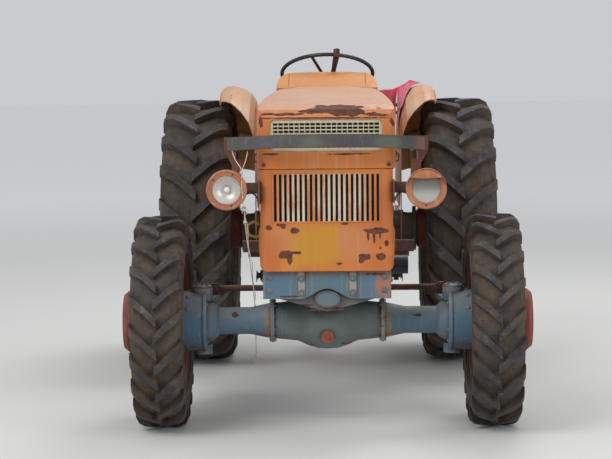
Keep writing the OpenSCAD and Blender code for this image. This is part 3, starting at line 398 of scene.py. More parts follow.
RUST_DARK = rgb(62, 38, 32)
RUST_MID = rgb(112, 62, 44)
RUST_LIGHT = rgb(150, 84, 50)
DUST = rgb(150, 132, 108)
# Dark of grease and painted shade in the corners of iron
GREASE_AND_SHADE = rgb(38, 34, 31)


def rust_colour(g, scale=60):
    shade = g.mix(g.step(g.noise(scale, 6, 0.65), 0.35, 0.65), RUST_DARK, RUST_MID)
    return g.mix(g.step(g.noise(scale * 0.4, 4), 0.58, 0.72), shade, RUST_LIGHT)


def cream_bars(g, colour):
    """The bars between the middle slots have lost their orange down to a cream undercoat."""
    x = g.math("ABSOLUTE", g.plus(g.axis("X"), 0.012))
    band = g.times(g.step(x, 0.205, 0.13), g.step(g.axis("Z"), 0.868, 0.873))
    band = g.times(band, g.step(g.axis("Z"), 1.064, 1.060))
    band = g.times(band, g.step(g.axis("Y"), NOSE_Y + 0.012, NOSE_Y + 0.008))
    worn = g.step(g.noise(1, 5, 0.6, at=g.stretched(30, 1, 5)), 0.34, 0.56, 0.1, 1)
    low = g.step(g.axis("Z"), 1.06, 0.92, 0.72, 0.95)
    return g.mix(g.times(g.times(band, worn), low), colour, rgb(204, 194, 170))


def mesh_hole_painted_shade(g, colour):
    """Dark painted shade round each hole of the mesh, made patchy."""
    column = g.math("FRACT", g.math("DIVIDE", g.plus(g.axis("X"), MESH_HALF), MESH_ACROSS))
    row = g.math("FRACT", g.math("DIVIDE", g.minus(g.axis("Z"), MESH_LOW), MESH_UP))
    across = g.step(g.math("ABSOLUTE", g.minus(column, 0.5)), 0.45, 0.40)
    up = g.step(g.math("ABSOLUTE", g.minus(row, 0.5)), 0.38, 0.31)
    soft = 0.0005
    inside = g.times(g.step(g.math("ABSOLUTE", g.axis("X")), MESH_HALF + soft, MESH_HALF - soft),
                    g.times(g.step(g.axis("Z"), MESH_LOW - soft, MESH_LOW + soft),
                           g.step(g.axis("Z"), MESH_HIGH + soft, MESH_HIGH - soft)))
    share = g.times(g.times(across, up), inside)
    patchy = g.step(g.noise(14, 5, 0.6), 0.25, 0.5, 0.65, 0.97)
    return g.mix(g.times(share, patchy), colour, rgb(50, 42, 36))


def painted(name, main, second, bleached, wear=0.5, edge_wear=0.5, sun=0.6, corner_dirt_and_shade=0.4, streaks=0.3,
            places=(), rough=0.5, patches=(), ragged=0.5, lip=None, bars=False, mesh=False):
    """Old sheet metal paint: patchy colour, bleached tops, streaks, dirt and painted shade in corners, chips
    down to rust.
    """
    g = Graph(name)
    colour = g.mix(g.step(g.noise(2.6, 3, at=g.stretched(1, 1, 1.4)), 0.4, 0.62), main, second)
    colour = g.mix(g.step(g.noise(13, 6, 0.6), 0.5, 0.75, 0, 0.45), colour, second)
    for tone, share, where in patches:
        colour = g.mix(g.times(g.marks(where, 0.3, 7, 0.42), share), colour, tone)
    if bars:
        colour = cream_bars(g, colour)
    # Painted shade round the mesh's holes.
    if mesh:
        colour = mesh_hole_painted_shade(g, colour)
    worn = g.step(g.noise(5, 5, 0.6), 0.3, 0.7, 0.55, 1)
    top = g.times(g.step(g.facing_up(), 0.15, 0.85, 0, sun), worn)
    colour = g.mix(top, colour, bleached)
    runs = g.noise(1, 4, 0.6, at=g.stretched(60, 60, 2.5))
    colour = g.mix(g.step(runs, 0.52, 0.72, 0, streaks), colour, bleached)
    brown = g.noise(1, 5, 0.6, at=g.stretched(45, 45, 3.5, (3, 1, 2)))
    colour = g.mix(g.step(brown, 0.6, 0.78, 0, streaks), colour, RUST_LIGHT)
    # Corners and gaps get brown dirt and painted shade, from the occlusion mask.
    corner = g.times(g.hidden(0.05), g.step(g.noise(18, 4), 0.3, 0.6, 0.4, 1))
    colour = g.mix(g.times(corner, corner_dirt_and_shade * 1.6, clamp=True), colour, rgb(88, 66, 52))
    speckle = g.step(g.noise(150, 2, 0.5), 0.66, 0.72, 0, 0.55)
    colour = g.mix(g.times(speckle, wear, clamp=True), colour, RUST_MID)
    chips = g.noise(24, 10, 0.72)
    edge = g.times(g.edges(0.006), g.step(g.noise(9, 4), 0.35, 0.7, 0.1, 1))
    level = g.plus(chips, g.times(edge, edge_wear * 0.3))
    limit = 0.80 - 0.14 * wear
    bare = g.step(level, limit, limit + 0.012)
    halo = g.step(level, limit - 0.03, limit - 0.005, 0, 0.5)
    if places:
        spot = g.times(g.marks(places, ragged, 42, 0.07), g.step(g.noise(210, 3), 0.28, 0.34))
        bare = g.math("MAXIMUM", bare, spot)
    if lip:
        bare = g.math("MAXIMUM", bare, g.marks(lip, 0.6, 22, 0.06))
    colour = g.mix(halo, colour, rgb(150, 92, 58))
    colour = g.mix(bare, colour, rust_colour(g))
    g.set(Base_Color=colour, Roughness=g.plus(g.step(g.noise(30, 4), 0.3, 0.7, rough - 0.08, rough + 0.1),
                                              g.times(bare, 0.3)))
    relief = g.minus(g.noise(90, 4, 0.6), g.times(bare, 0.9))
    relief = g.plus(relief, g.times(g.noise(6, 3), 1.5))
    g.bump(relief, 0.0009, 0.6)
    return g.material


def iron(name, base, second, rust=0.4, corner_grease_and_shade=0.5, rough=0.6, metal=0.0):
    """Cast or rolled iron with rust bloom, grease and painted shade in its corners and dust on top."""
    g = Graph(name)
    colour = g.mix(g.step(g.noise(7, 6, 0.62), 0.38, 0.62), base, second)
    bloom = g.step(g.noise(16, 8, 0.7), 0.62 - 0.22 * rust, 0.74 - 0.2 * rust)
    colour = g.mix(g.times(bloom, min(1.0, rust + 0.35)), colour, rust_colour(g, 45))
    colour = g.mix(g.step(g.facing_up(), 0.4, 0.95, 0, 0.35), colour, DUST)
    # Grease and painted shade darken the corners and gaps.
    dark = g.times(g.hidden(0.06), g.step(g.noise(11, 4), 0.3, 0.65, 0.3, 1))
    colour = g.mix(g.times(dark, corner_grease_and_shade * 1.7, clamp=True), colour, GREASE_AND_SHADE)
    edge = g.times(g.edges(0.003), g.step(g.noise(25, 4), 0.4, 0.6))
    colour = g.mix(g.times(edge, 0.4), colour, rgb(150, 135, 120))
    g.set(Base_Color=colour, Metallic=metal,
          Roughness=g.step(g.noise(35, 5), 0.3, 0.7, rough - 0.15, rough + 0.15))
    g.bump(g.plus(g.noise(140, 5, 0.65), g.times(bloom, 0.6)), 0.0008, 0.7)
    return g.material


def rubber(name, centre_y, centre_z, radius, lug):
    """Tyre rubber: dusty brown between the lugs and on the walls, painted shade in the gaps, worn and cracked
    on the lugs.
    """
    g = Graph(name)
    y = g.minus(g.axis("Y"), centre_y)
    z = g.minus(g.axis("Z"), centre_z)
    r = g.math("SQRT", g.plus(g.times(y, y), g.times(z, z)))
    outer = g.step(r, radius - lug * 0.75, radius - lug * 0.1)
    patch = g.step(g.noise(6, 6, 0.6), 0.35, 0.68)
    colour = g.mix(patch, rgb(56, 54, 54), rgb(78, 74, 72))
    dust = g.step(g.noise(9, 7, 0.65), 0.3, 0.68)
    ground = g.mix(g.step(g.noise(22, 5), 0.4, 0.65), rgb(88, 73, 56), rgb(108, 92, 74))
    low = g.times(g.minus(1.0, outer), dust)
    colour = g.mix(g.times(low, 0.8), colour, ground)
    # Painted shade in the gaps between the lugs and in corners.
    colour = g.mix(g.times(g.hidden(0.03), 0.8, clamp=True), colour, rgb(44, 38, 33))
    worn = g.times(outer, g.step(g.noise(28, 6, 0.7), 0.5, 0.68, 0, 0.6))
    colour = g.mix(worn, colour, rgb(112, 106, 104))
    mud = g.step(g.noise(13, 8, 0.7, at=g.stretched(1, 1, 1, (5, 2, 7))), 0.56, 0.66, 0, 0.75)
    colour = g.mix(mud, colour, rgb(98, 76, 56))
    cracks = g.step(g.cells(70, "DISTANCE_TO_EDGE"), 0.0, 0.05)
    colour = g.mix(g.times(g.minus(1.0, cracks), 0.35), colour, rgb(30, 27, 26))
    g.set(Base_Color=colour, Roughness=g.step(g.noise(20, 4), 0.3, 0.7, 0.75, 0.95),
          Specular_IOR_Level=0.35)
    height = g.plus(g.noise(60, 7, 0.7), g.times(cracks, 0.35))
    g.bump(height, 0.0016, 0.8)
    return g.material


def woven(name, base, second, threads, faded):
    """Coarse cloth with a plain weave."""
    g = Graph(name)
    colour = g.mix(g.step(g.noise(7, 5, 0.6), 0.35, 0.7), base, second)
    colour = g.mix(g.step(g.noise(3.5, 3), 0.5, 0.75, 0, 0.6), colour, faded)
    bumps = []
    for scale in ((threads, threads * 0.3, threads * 0.3), (threads * 0.3, threads * 0.3, threads)):
        wave = g.add("TexWave", wave_type="BANDS", bands_direction="DIAGONAL")
        g.put(wave.inputs["Vector"], g.stretched(*scale))
        wave.inputs["Scale"].default_value = 1.0
        bumps.append(wave.outputs["Fac"])
    weave = g.times(bumps[0], bumps[1])
    colour = g.mix(g.step(weave, 0.1, 0.6, 0.25, 0), colour, rgb(90, 30, 42))
    g.set(Base_Color=colour, Roughness=0.9, Sheen_Weight=0.3, Sheen_Roughness=0.5)
    g.bump(weave, 0.0006, 0.7)
    return g.material


def plain(name, colour, second, rough=0.5, metal=0.0, scale=25, relief=0.0004):
    """A simple surface with slight patches and fine relief."""
    g = Graph(name)
    g.set(Base_Color=g.mix(g.step(g.noise(scale, 5, 0.6), 0.35, 0.68), colour, second), Metallic=metal,
          Roughness=g.step(g.noise(scale * 2, 4), 0.3, 0.7, max(rough - 0.12, 0.05), rough + 0.12))
    g.bump(g.noise(scale * 6, 4), relief, 0.6)
    return g.material


def glass(name):
    """Old ribbed lamp glass, a little dusty, with a painted highlight low down and painted shade at the top
    under the visor.
    """
    g = Graph(name)
    ribs = g.add("TexWave", wave_type="BANDS", bands_direction="X")
    g.put(ribs.inputs["Vector"], g.where)
    ribs.inputs["Scale"].default_value = 60.0
    dust = g.step(g.noise(20, 6, 0.6), 0.4, 0.75, 0.05, 0.4)
    # Painted highlight on the lower part of the glass, painted shade above it.
    low = g.step(g.axis("Z"), LAMP_Z + 0.02, LAMP_Z - 0.035)
    g.set(Base_Color=g.mix(low, rgb(168, 162, 152), rgb(240, 238, 232)), Transmission_Weight=0.6, IOR=1.45,
          Roughness=dust)
    g.bump(ribs.outputs["Fac"], 0.0012, 0.5)
    return g.material


ORANGE = rgb(202, 120, 54)
ORANGE_DEEP = rgb(188, 104, 46)
ORANGE_PALE = rgb(206, 162, 126)

# Rust spots on the grille box's front, by middle and half sizes: across, up, width, height
BOX_MARKS = [((x, NOSE_Y, z), (wide, 0.03, high)) for x, z, wide, high in (
    (-0.233, 0.847, 0.013, 0.010), (-0.184, 0.857, 0.022, 0.006), (-0.176, 0.850, 0.010, 0.008),
    (-0.130, 0.834, 0.019, 0.013), (0.073, 0.861, 0.014, 0.005), (0.200, 0.832, 0.050, 0.012),
    (0.166, 0.812, 0.005, 0.018), (0.190, 0.806, 0.005, 0.022), (0.214, 0.812, 0.004, 0.014),
    (-0.165, 0.738, 0.030, 0.016), (-0.150, 0.720, 0.012, 0.020), (-0.125, 0.745, 0.032, 0.006),
    (0.154, 0.728, 0.026, 0.014), (0.140, 0.712, 0.012, 0.012), (0.218, 0.728, 0.018, 0.014),
    (0.240, 0.782, 0.010, 0.014), (0.215, 0.763, 0.006, 0.006), (0.05, 0.700, 0.012, 0.005),
)]
BAR_PATCHES = [
    (rgb(98, 66, 54), 0.7, [((0.385, -1.46, 1.175), (0.035, 0.06, 0.05))]),
    (rgb(64, 58, 72), 0.7, [((0.10, -1.52, 1.18), (0.10, 0.06, 0.05)),
                            ((-0.24, -1.50, 1.18), (0.05, 0.06, 0.05))]),
    (rgb(92, 96, 78), 0.6, [((-0.06, -1.52, 1.17), (0.05, 0.06, 0.05)),
                            ((0.25, -1.50, 1.19), (0.05, 0.06, 0.03))]),
]
PINKISH = rgb(192, 122, 76)
BOX_PATCHES = [
    (rgb(190, 134, 30), 0.9, [((-0.06, NOSE_Y, 0.765), (0.13, 0.2, 0.085)),
                               ((0.02, NOSE_Y, 0.80), (0.12, 0.2, 0.05))]),
    (PINKISH, 0.8, [((0.115, NOSE_Y, 0.775), (0.07, 0.2, 0.07)), ((-0.20, NOSE_Y, 0.80), (0.05, 0.2, 0.04))]),
    (rgb(186, 100, 44), 0.75, [((-0.235, NOSE_Y, 0.73), (0.05, 0.2, 0.09)),
                               ((0.22, NOSE_Y, 0.70), (0.06, 0.2, 0.04))]),
    (rgb(204, 136, 46), 0.7, [((-0.05, NOSE_Y, 1.107), (0.2, 0.2, 0.03))]),
]
LIP_MARKS = [((0.055, NOSE_Y + 0.025, 1.325), (0.125, 0.055, 0.020)),
             ((0.10, NOSE_Y + 0.01, 1.306), (0.09, 0.03, 0.014)),
             ((-0.03, NOSE_Y + 0.01, 1.312), (0.07, 0.03, 0.010)),
             ((-0.16, NOSE_Y, 1.302), (0.10, 0.03, 0.006)), ((0.21, NOSE_Y, 1.298), (0.05, 0.03, 0.006)),
             ((0.0, NOSE_Y, 1.286), (0.24, 0.02, 0.0035)),
             ((-0.26, NOSE_Y + 0.02, 1.27), (0.012, 0.03, 0.02)),
             ((0.262, NOSE_Y + 0.02, 1.27), (0.012, 0.03, 0.02)),
             ((0.09, NOSE_Y, 1.142), (0.09, 0.02, 0.004)), ((-0.22, NOSE_Y, 1.143), (0.03, 0.02, 0.004))]
FENDER_PATCHES = [
    (rgb(150, 92, 66), 0.7, [((s * 0.47, REAR_Y - 0.50, 1.17), (0.05, 0.25, 0.06)) for s in (-1, 1)]),
    (rgb(218, 190, 160), 0.6, [((-0.41, REAR_Y - 0.42, 1.25), (0.03, 0.2, 0.06)),
                               ((0.43, REAR_Y - 0.42, 1.27), (0.04, 0.2, 0.06))]),
]
BONNET_PATCHES = [
    (rgb(204, 158, 134), 0.75, [((-0.02, NOSE_Y + 0.30, 1.37), (0.10, 0.16, 0.05))]),
    (rgb(196, 112, 48), 0.6, [((0.0, NOSE_Y, 1.20), (0.4, 0.12, 0.10))]),
]
BLUE_PATCHES = [
    (rgb(176, 104, 56), 0.75, [((0.0, -1.40, 0.668), (0.26, 0.06, 0.010)),
                               ((0.235, -1.40, 0.62), (0.035, 0.05, 0.05))]),
    (rgb(172, 172, 158), 0.55, [((s * 0.104, -1.40, 0.61), (0.022, 0.03, 0.05)) for s in (-1, 1)]),
    (rgb(118, 112, 100), 0.7, [((0.0, -1.36, 0.535), (0.2, 0.05, 0.03))]),
    (rgb(140, 132, 118), 0.6, [((s * 0.52, FRONT_Y, 0.575), (0.06, 0.06, 0.02)) for s in (-1, 1)]),
    (rgb(84, 62, 52), 0.6, [((s * 0.56, FRONT_Y, 0.335), (0.09, 0.16, 0.03)) for s in (-1, 1)]),
]
BLUE_MARKS = [((0.20, -1.40, 0.655), (0.04, 0.03, 0.006)), ((-0.15, -1.40, 0.565), (0.04, 0.03, 0.004)),
              ((0.06, -1.372, 0.515), (0.06, 0.03, 0.004)), ((-0.09, -1.372, 0.528), (0.05, 0.03, 0.004))]
BEAM_PATCHES = [
    (rgb(122, 74, 56), 0.75, [((s * 0.30, FRONT_Y, 0.372), (0.24, 0.2, 0.014)) for s in (-1, 1)]),
    (rgb(104, 112, 102), 0.7, [((0.0, FRONT_Y - 0.1, 0.44), (0.20, 0.1, 0.10))]),
    (rgb(168, 122, 62), 0.7, [((s * 0.236, FRONT_Y, 0.43), (0.022, 0.2, 0.08)) for s in (-1, 1)]),
]
BEAM_MARKS = [((-0.385, FRONT_Y - 0.06, 0.47), (0.018, 0.05, 0.008)),
              ((0.375, FRONT_Y - 0.06, 0.465), (0.02, 0.05, 0.006)),
              ((-0.10, FRONT_Y - 0.08, 0.345), (0.05, 0.05, 0.008)),
              ((0.12, FRONT_Y - 0.08, 0.35), (0.06, 0.05, 0.007))]

M = {
    "bonnet": painted("bonnet_paint", rgb(206, 122, 54), rgb(196, 108, 46), rgb(192, 152, 122), 0.4, 0.9,
                      0.95, 0.6, 0.5, patches=BONNET_PATCHES, lip=LIP_MARKS),
    "box": painted("box_paint", ORANGE, ORANGE_DEEP, ORANGE_PALE, 0.25, 0.7, 0.6, 0.5, 0.2,
                   places=BOX_MARKS, patches=BOX_PATCHES, ragged=0.34, bars=True),
    "cowl": painted("cowl_paint", rgb(202, 124, 34), rgb(192, 112, 36), rgb(200, 146, 84), 0.2, 0.7, 0.4,
                    0.6, 0.25),
    "fender": painted("fender_paint", rgb(194, 130, 74), rgb(184, 108, 56), rgb(194, 158, 126), 0.6, 1.0,
                      0.85, 0.8, 0.5, patches=FENDER_PATCHES),
    "lamp": painted("lamp_paint", rgb(186, 118, 76), rgb(160, 96, 62), rgb(200, 156, 124), 0.8, 1.3, 0.5,
                    0.9, 0.5),
    "blue": painted("blue_paint", rgb(78, 110, 132), rgb(88, 112, 120), rgb(132, 138, 132), 0.8, 1.2, 0.7,
                    1.1, 0.6, rough=0.58, patches=BLUE_PATCHES, places=BLUE_MARKS, ragged=0.6),
    "blue_worn": painted("blue_worn_paint", rgb(84, 114, 132), rgb(84, 106, 116), rgb(118, 124, 118), 1.0,
                         1.2, 0.8, 1.2, 0.7, rough=0.62, patches=BEAM_PATCHES, places=BEAM_MARKS, ragged=0.6),
    # The cream mesh carries painted shade round its holes.
    "cream": painted("cream_paint", rgb(200, 188, 158), rgb(184, 170, 140), rgb(212, 204, 184), 0.7, 0.8,
                     0.3, 0.9, 0.4, mesh=True),
    "bar": painted("bar_paint", rgb(66, 66, 62), rgb(50, 52, 54), rgb(88, 84, 76), 0.7, 1.2, 0.5, 0.7,
                   0.7, rough=0.55, patches=BAR_PATCHES),
    "rim": painted("rim_paint", rgb(138, 62, 42), rgb(112, 54, 42), rgb(150, 92, 70), 0.9, 0.8, 0.5, 0.9, 0.5,
                   rough=0.65),
    "bracket": painted("bracket_paint", rgb(110, 70, 56), rgb(86, 62, 54), rgb(130, 100, 84), 0.9, 0.9, 0.4,
                       0.9, 0.4, rough=0.7),
    "red": painted("red_paint", rgb(142, 44, 32), rgb(120, 40, 32), rgb(160, 80, 64), 0.6, 0.8, 0.4, 0.8,
                   0.3),
    "navy": painted("navy_paint", rgb(34, 38, 58), rgb(26, 28, 40), rgb(60, 62, 74), 0.3, 0.6, 0.3, 0.6, 0.2,
                    rough=0.4),
    "iron": iron("dark_iron", rgb(74, 66, 60), rgb(52, 47, 44), 0.4, 0.8),
    "rusty": iron("rusty_iron", rgb(98, 66, 52), rgb(74, 54, 46), 0.8, 0.5, 0.75),
    "grey": iron("grey_iron", rgb(104, 98, 90), rgb(84, 78, 72), 0.35, 0.6),
    "steel": iron("bare_steel", rgb(142, 138, 132), rgb(112, 106, 100), 0.25, 0.4, 0.42, 0.8),
    "front_rubber": rubber("front_rubber", FRONT_Y, FRONT_Z, FRONT_R, 0.026),
    "rear_rubber": rubber("rear_rubber", REAR_Y, REAR_Z, REAR_R, 0.036),
    "black": plain("black_plastic", rgb(26, 26, 27), rgb(44, 42, 41), 0.4),
    "vinyl": plain("seat_vinyl", rgb(34, 32, 31), rgb(58, 53, 49), 0.55, scale=14, relief=0.0009),
    "cloth": woven("red_cloth", rgb(222, 84, 108), rgb(204, 66, 92), 900, rgb(230, 138, 150)),
    "twine": plain("twine", rgb(214, 208, 192), rgb(180, 170, 150), 0.9, scale=120, relief=0.0006),
    "glass": glass("lamp_glass"),
    "axle_metal": iron("axle_bolts_paint", rgb(128, 132, 128), rgb(104, 112, 116), 0.45, 0.6, 0.55),
    "hub_metal": iron("hub_bolts_paint", rgb(126, 70, 58), rgb(98, 62, 54), 0.5, 0.6, 0.6),
    "copper": iron("rusty_copper", rgb(150, 84, 58), rgb(120, 72, 54), 0.5, 0.3, 0.5, 0.4),
    # Dark screw heads stand in for the shade in the lamps' screw holes.
    "painted_hole_shade": plain("screw_hole_painted_shade", rgb(46, 34, 28), rgb(70, 48, 38), 0.7),
    "reflector": plain("old_reflector", rgb(236, 236, 234), rgb(206, 203, 196), 0.34, 0.45, 7, 0.0001),
    "bulb": plain("bulb_glass", rgb(236, 236, 230), rgb(214, 214, 208), 0.12, scale=12, relief=0.0001),
    "ochre": painted("ochre_strap_paint", rgb(176, 140, 46), rgb(150, 116, 44), rgb(190, 160, 90), 0.4,
                     0.6, 0.3),
    "fins": plain("radiator_fin_metal", rgb(96, 98, 96), rgb(66, 64, 60), 0.6, scale=9, relief=0.0003),
    "hose": plain("hose_rubber", rgb(34, 33, 33), rgb(58, 55, 52), 0.7, scale=18, relief=0.0006),
    "red_glass": plain("red_lamp_glass", rgb(150, 26, 22), rgb(120, 22, 20), 0.25, scale=8, relief=0.0002),
    "chrome": iron("old_chrome", rgb(176, 174, 168), rgb(140, 134, 126), 0.2, 0.3, 0.3, 0.9),
}

# The solids' nodes by their finish
FINISHES = {
    "blue": "front_bracket knuckle_left knuckle_right",
    "blue_worn": "front_axle_beam",
    "box": "grille_box",
    "iron": "radiator engine_block cylinder_head air_cleaner front_driveshaft",
    "rusty": "exhaust pedals drawbar tie_rod lift_arms lower_link_left lower_link_right lift_rod_left "
             "lift_rod_right",
    "grey": "injection_pump gearbox rear_axle_housing",
    "red": "cooling_fan",
    "navy": "oil_filter",
    "cowl": "cowl",
    "black": "steering_column levers steering_wheel",
    "bracket": "footplates seat_frame lamp_brackets",
    "vinyl": "seat_cushion",
    "fender": "fender_left fender_right",
    "bar": "front_bar",
    "lamp": "lamp_bowls",
    "glass": "lamp_lens",
    "steel": "pto_shaft",
    "cloth": "cloth",
    "twine": "twine",
    "bonnet": "bonnet",
    "cream": "mesh_grille",
    "rim": "front_rim_left front_rim_right rear_rim_left rear_rim_right",
    "front_rubber": "front_tyre_left front_tyre_right",
    "rear_rubber": "rear_tyre_left rear_tyre_right",
}


def dress_nodes():
    for finish, names in FINISHES.items():
        for name in names.split():
            for slot in frame["nodes"][name].material_slots:
                slot.material = M[finish]


dress_nodes()


# Twine: the route repeats the part's own, from the bar down and behind the axle
TWINE_D = 0.004
TWINE_X = -0.302
TWINE_TURN_R = 0.0628


def twine_route():
    route = [(-0.375, -1.4612, 1.1586), (-0.372, -1.465, 1.149), (-0.365, -1.473, 1.130),
             (-0.354, -1.484, 1.112), (-0.342, -1.496, 1.096), (-0.336, -1.504, 1.078),
             (-0.3355, -1.5075, 1.058), (-0.336, -1.5075, 1.030), (-0.335, -1.5075, 1.002),
             (-0.333, -1.5075, 0.975), (-0.330, -1.5075, 0.950), (-0.327, -1.507, 0.922),
             (-0.325, -1.505, 0.890), (-0.323, -1.500, 0.858), (-0.320, -1.491, 0.826),
             (-0.317, -1.478, 0.794), (-0.314, -1.458, 0.762), (-0.312, -1.432, 0.730),
             (-0.310, -1.398, 0.698), (-0.308, -1.358, 0.664), (-0.306, -1.316, 0.628),
             (-0.304, -1.276, 0.590), (-0.303, -1.238, 0.553), (TWINE_X, -1.206, 0.522)]
    for angle in range(-15, 91, 15):
        a = math.radians(angle)
        route.append((TWINE_X, FRONT_Y + TWINE_TURN_R * math.sin(a), FRONT_Z + TWINE_TURN_R * math.cos(a)))
    return route + [(TWINE_X, FRONT_Y + TWINE_TURN_R, z / 1000) for z in (400, 364, 328, 292)]


def laid(shape, path, radius, sides=10, turn=7.0):
    """A cord of two strands laid round each other."""
    first = len(shape.points)
    shape.tube(path, radius, sides)
    for i in range(len(path)):
        for k in range(sides):
            waist = 0.76 + 0.24 * abs(math.cos(2 * math.pi * (k / sides - i / turn)))
            p = shape.points[first + i * sides + k]
            shape.points[first + i * sides + k] = path[i] + (p - path[i]) * waist


def knot(shape, at, size, seed):
    """A lumpy overhand knot: a short thick cord wound round its own route."""
    pick = random.Random(seed)
    at = Vector(at)
    turns = []
    for k in range(30):
        a = 2 * math.pi * k / 29 * 2.5
        turns.append(at + Vector((math.cos(a) * size, math.sin(a) * size * 0.8,
                                  (k / 29 - 0.5) * size * 1.8 + math.sin(a * 1.7) * size * 0.3)))
    laid(shape, turns, size * 0.55, 8, 5)
    for k in range(3):
        out = Vector((pick.uniform(-1, 1), pick.uniform(-1, 0.2), pick.uniform(-1, 0.4))).normalized()
        shape.tube(smooth_path([at, at + out * size * 1.6, at + out * size * 2.6 - Vector((0, 0, size))],
                               0.002), 0.0006, 5)


def make_twine():
    """Two strands laid together, a second leg to the bar, knots, a loop and a tassel."""
    path = smooth_path(twine_route(), 0.0024)
    shape = Shape()
    laid(shape, path, TWINE_D / 2)
    cord = shape.made("twine_cord", "twine")
    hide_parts("twine")
    # Second leg from the bar to the first leg, and knots along the cord
    leg = Shape()
    laid(leg, smooth_path([(-0.3135, -1.474, 1.1575), (-0.3155, -1.484, 1.140), (-0.322, -1.494, 1.116),
                           (-0.331, -1.5005, 1.094), (-0.336, -1.5045, 1.076)], 0.0024), 0.0017)
    knot(leg, (-0.3362, -1.505, 1.074), 0.0042, 1)
    knot(leg, (-0.329, -1.5075, 0.944), 0.0042, 2)
    knot(leg, (-0.327, -1.507, 0.925), 0.0048, 3)
    knot(leg, (-0.3245, -1.504, 0.878), 0.0040, 4)
    # Loops by the knots, and the second strand that hangs down beside the first
    laid(leg, smooth_path([(-0.329, -1.5075, 0.944), (-0.338, -1.509, 0.950), (-0.343, -1.509, 0.940),
                           (-0.338, -1.5085, 0.930), (-0.328, -1.507, 0.926)], 0.002), 0.0013, 8)
    laid(leg, smooth_path([(-0.327, -1.507, 0.925), (-0.316, -1.508, 0.934), (-0.312, -1.508, 0.922),
                           (-0.318, -1.507, 0.910), (-0.3255, -1.506, 0.905)], 0.002), 0.0013, 8)
    strand = [(-0.325, -1.506, 0.900)]
    for x, y, z in twine_route()[13:23]:
        i = len(strand)
        strand.append((x + 0.005 + 0.003 * math.sin(i * 1.3), y - 0.002, z + 0.002))
    strand.append((TWINE_X + 0.001, -1.206, 0.5245))
    laid(leg, smooth_path(strand, 0.0026), 0.0014, 8)
    legs = leg.made("twine_leg", "twine")
    # Tassel under the axle, tied with a few turns
    fray = Shape()
    end = path[-1]
    pick = random.Random(11)
    for k in range(26):
        a = 2.4 * k
        out = Vector((math.cos(a), math.sin(a), 0)) * pick.uniform(0.002, 0.011)
        drop = Vector((0, 0, -pick.uniform(0.025, 0.052)))
        middle = end + out * 0.5 + drop * 0.5 + Vector((pick.uniform(-1, 1), pick.uniform(-1, 1), 0)) * 0.002
        fray.tube(smooth_path([end + Vector((0, 0, 0.004)), middle, end + out + drop], 0.005), 0.0006, 5)
    turns = [end + Vector((0.0032 * math.cos(k * 0.9), 0.0032 * math.sin(k * 0.9), 0.004 + k * 0.0004))
             for k in range(30)]
    fray.tube(turns, 0.0009, 6)
    tassel = fray.made("twine_fray", "twine")


make_twine()


BODY = {node: body for body, nodes in frame["record"]["behaviour"]["bodies"].items() for node in nodes}
SIDES = (("left", -1), ("right", 1))


# Bolts, caps and plugs of the front axle
def make_axle_fittings():
    bolts = Shape()
    for s in (-1, 1):
        for z in (0.580, 0.6395):
            bolts.bolt((s * 0.104, -1.4085, z), (0, -1, 0), 0.0095, 0.008)
        for z in (0.590, 0.645):
            bolts.bolt((s * 0.232, -1.4005, z), (0, -1, 0), 0.008, 0.007)
        for y in (-1.30, -1.20):
            bolts.bolt((s * 0.2595, y, 0.62), (s, 0, 0), 0.009, 0.008)
        # Flange joints of the axle housing, with their bolts
        bolts.ring([(0.070, -0.008), (0.088, -0.008), (0.090, -0.006), (0.090, 0.006), (0.088, 0.008),
                    (0.070, 0.008)], (s * 0.228, FRONT_Y, FRONT_Z), (1, 0, 0), 48)
        bolts.bolts_round((s * 0.220, FRONT_Y, FRONT_Z), (-s, 0, 0), 0.0825, 10, 0.0052, 0.006, 0.5)
        bolts.bolts_round((s * 0.236, FRONT_Y, FRONT_Z), (s, 0, 0), 0.0825, 10, 0.0052, 0.006, 0.5)
    bolts.made("axle_bolts", "axle_metal")
    plug = Shape()
    plug.hoop((0, -1.2925, 0.385), (0, -1, 0), 0.0235, 0.0035, 40)
    plug.lathe([(0.021, -0.002), (0.021, 0.002), (0.012, 0.003)], (0, -1.2925, 0.385), (0, -1, 0), 28)
    plug.bolt((0, -1.2945, 0.385), (0, -1, 0), 0.009, 0.008, False)
    plug.made("axle_plug", "copper")
    boss = Shape()
    rim = [(0.0475 * math.cos(a), -1.4062, 0.554 + 0.0305 * math.sin(a))
           for a in (2 * math.pi * k / 48 for k in range(48))]
    boss.tube(rim, 0.0022, 8, True)
    boss.made("pivot_cap_edge", "blue")
    for name, s in SIDES:
        cap = Shape()
        x = s * 0.52
        cap.bolts_round((s * 0.498, FRONT_Y, FRONT_Z), (-s, 0, 0), 0.110, 12, 0.0065, 0.006, 0.5)
        cap.lathe([(0.040, -0.002), (0.040, 0.006), (0.034, 0.010), (0.012, 0.011)], (x, FRONT_Y, 0.580),
                  (0, 0, 1), 32)
        cap.bolts_round((x, FRONT_Y, 0.588), (0, 0, 1), 0.029, 4, 0.0065, 0.007, 0.5)
        cap.lathe([(0.005, 0), (0.005, 0.006), (0.003, 0.007), (0.003, 0.011), (0.001, 0.013)],
                  (x, FRONT_Y, 0.590), (0, 0, 1), 12)
        for k in range(5):
            a = math.radians(-60 + 30 * k)
            at = Vector((s * 0.575, FRONT_Y + math.sin(a) * 0.124, FRONT_Z + math.cos(a) * 0.124))
            cap.bolt(at, (0, math.sin(a), math.cos(a)), 0.007, 0.006)
        cap.ring([(0.122, -0.004), (0.1275, -0.003), (0.1275, 0.003), (0.122, 0.004)],
                 (s * 0.60, FRONT_Y, FRONT_Z), (1, 0, 0), 48)
        cap.made("kingpin_cap_" + name, "axle_metal", BODY["knuckle_" + name])


# Ribs on the tyres' walls: radius and distance from the middle
TYRE_RIBS = {"front": ((0.2885, 0.0975), (0.3238, 0.1045), (0.3440, 0.1030)),
             "rear": ((0.4015, 0.1600), (0.4650, 0.1720), (0.4950, 0.1705), (0.5130, 0.1680))}


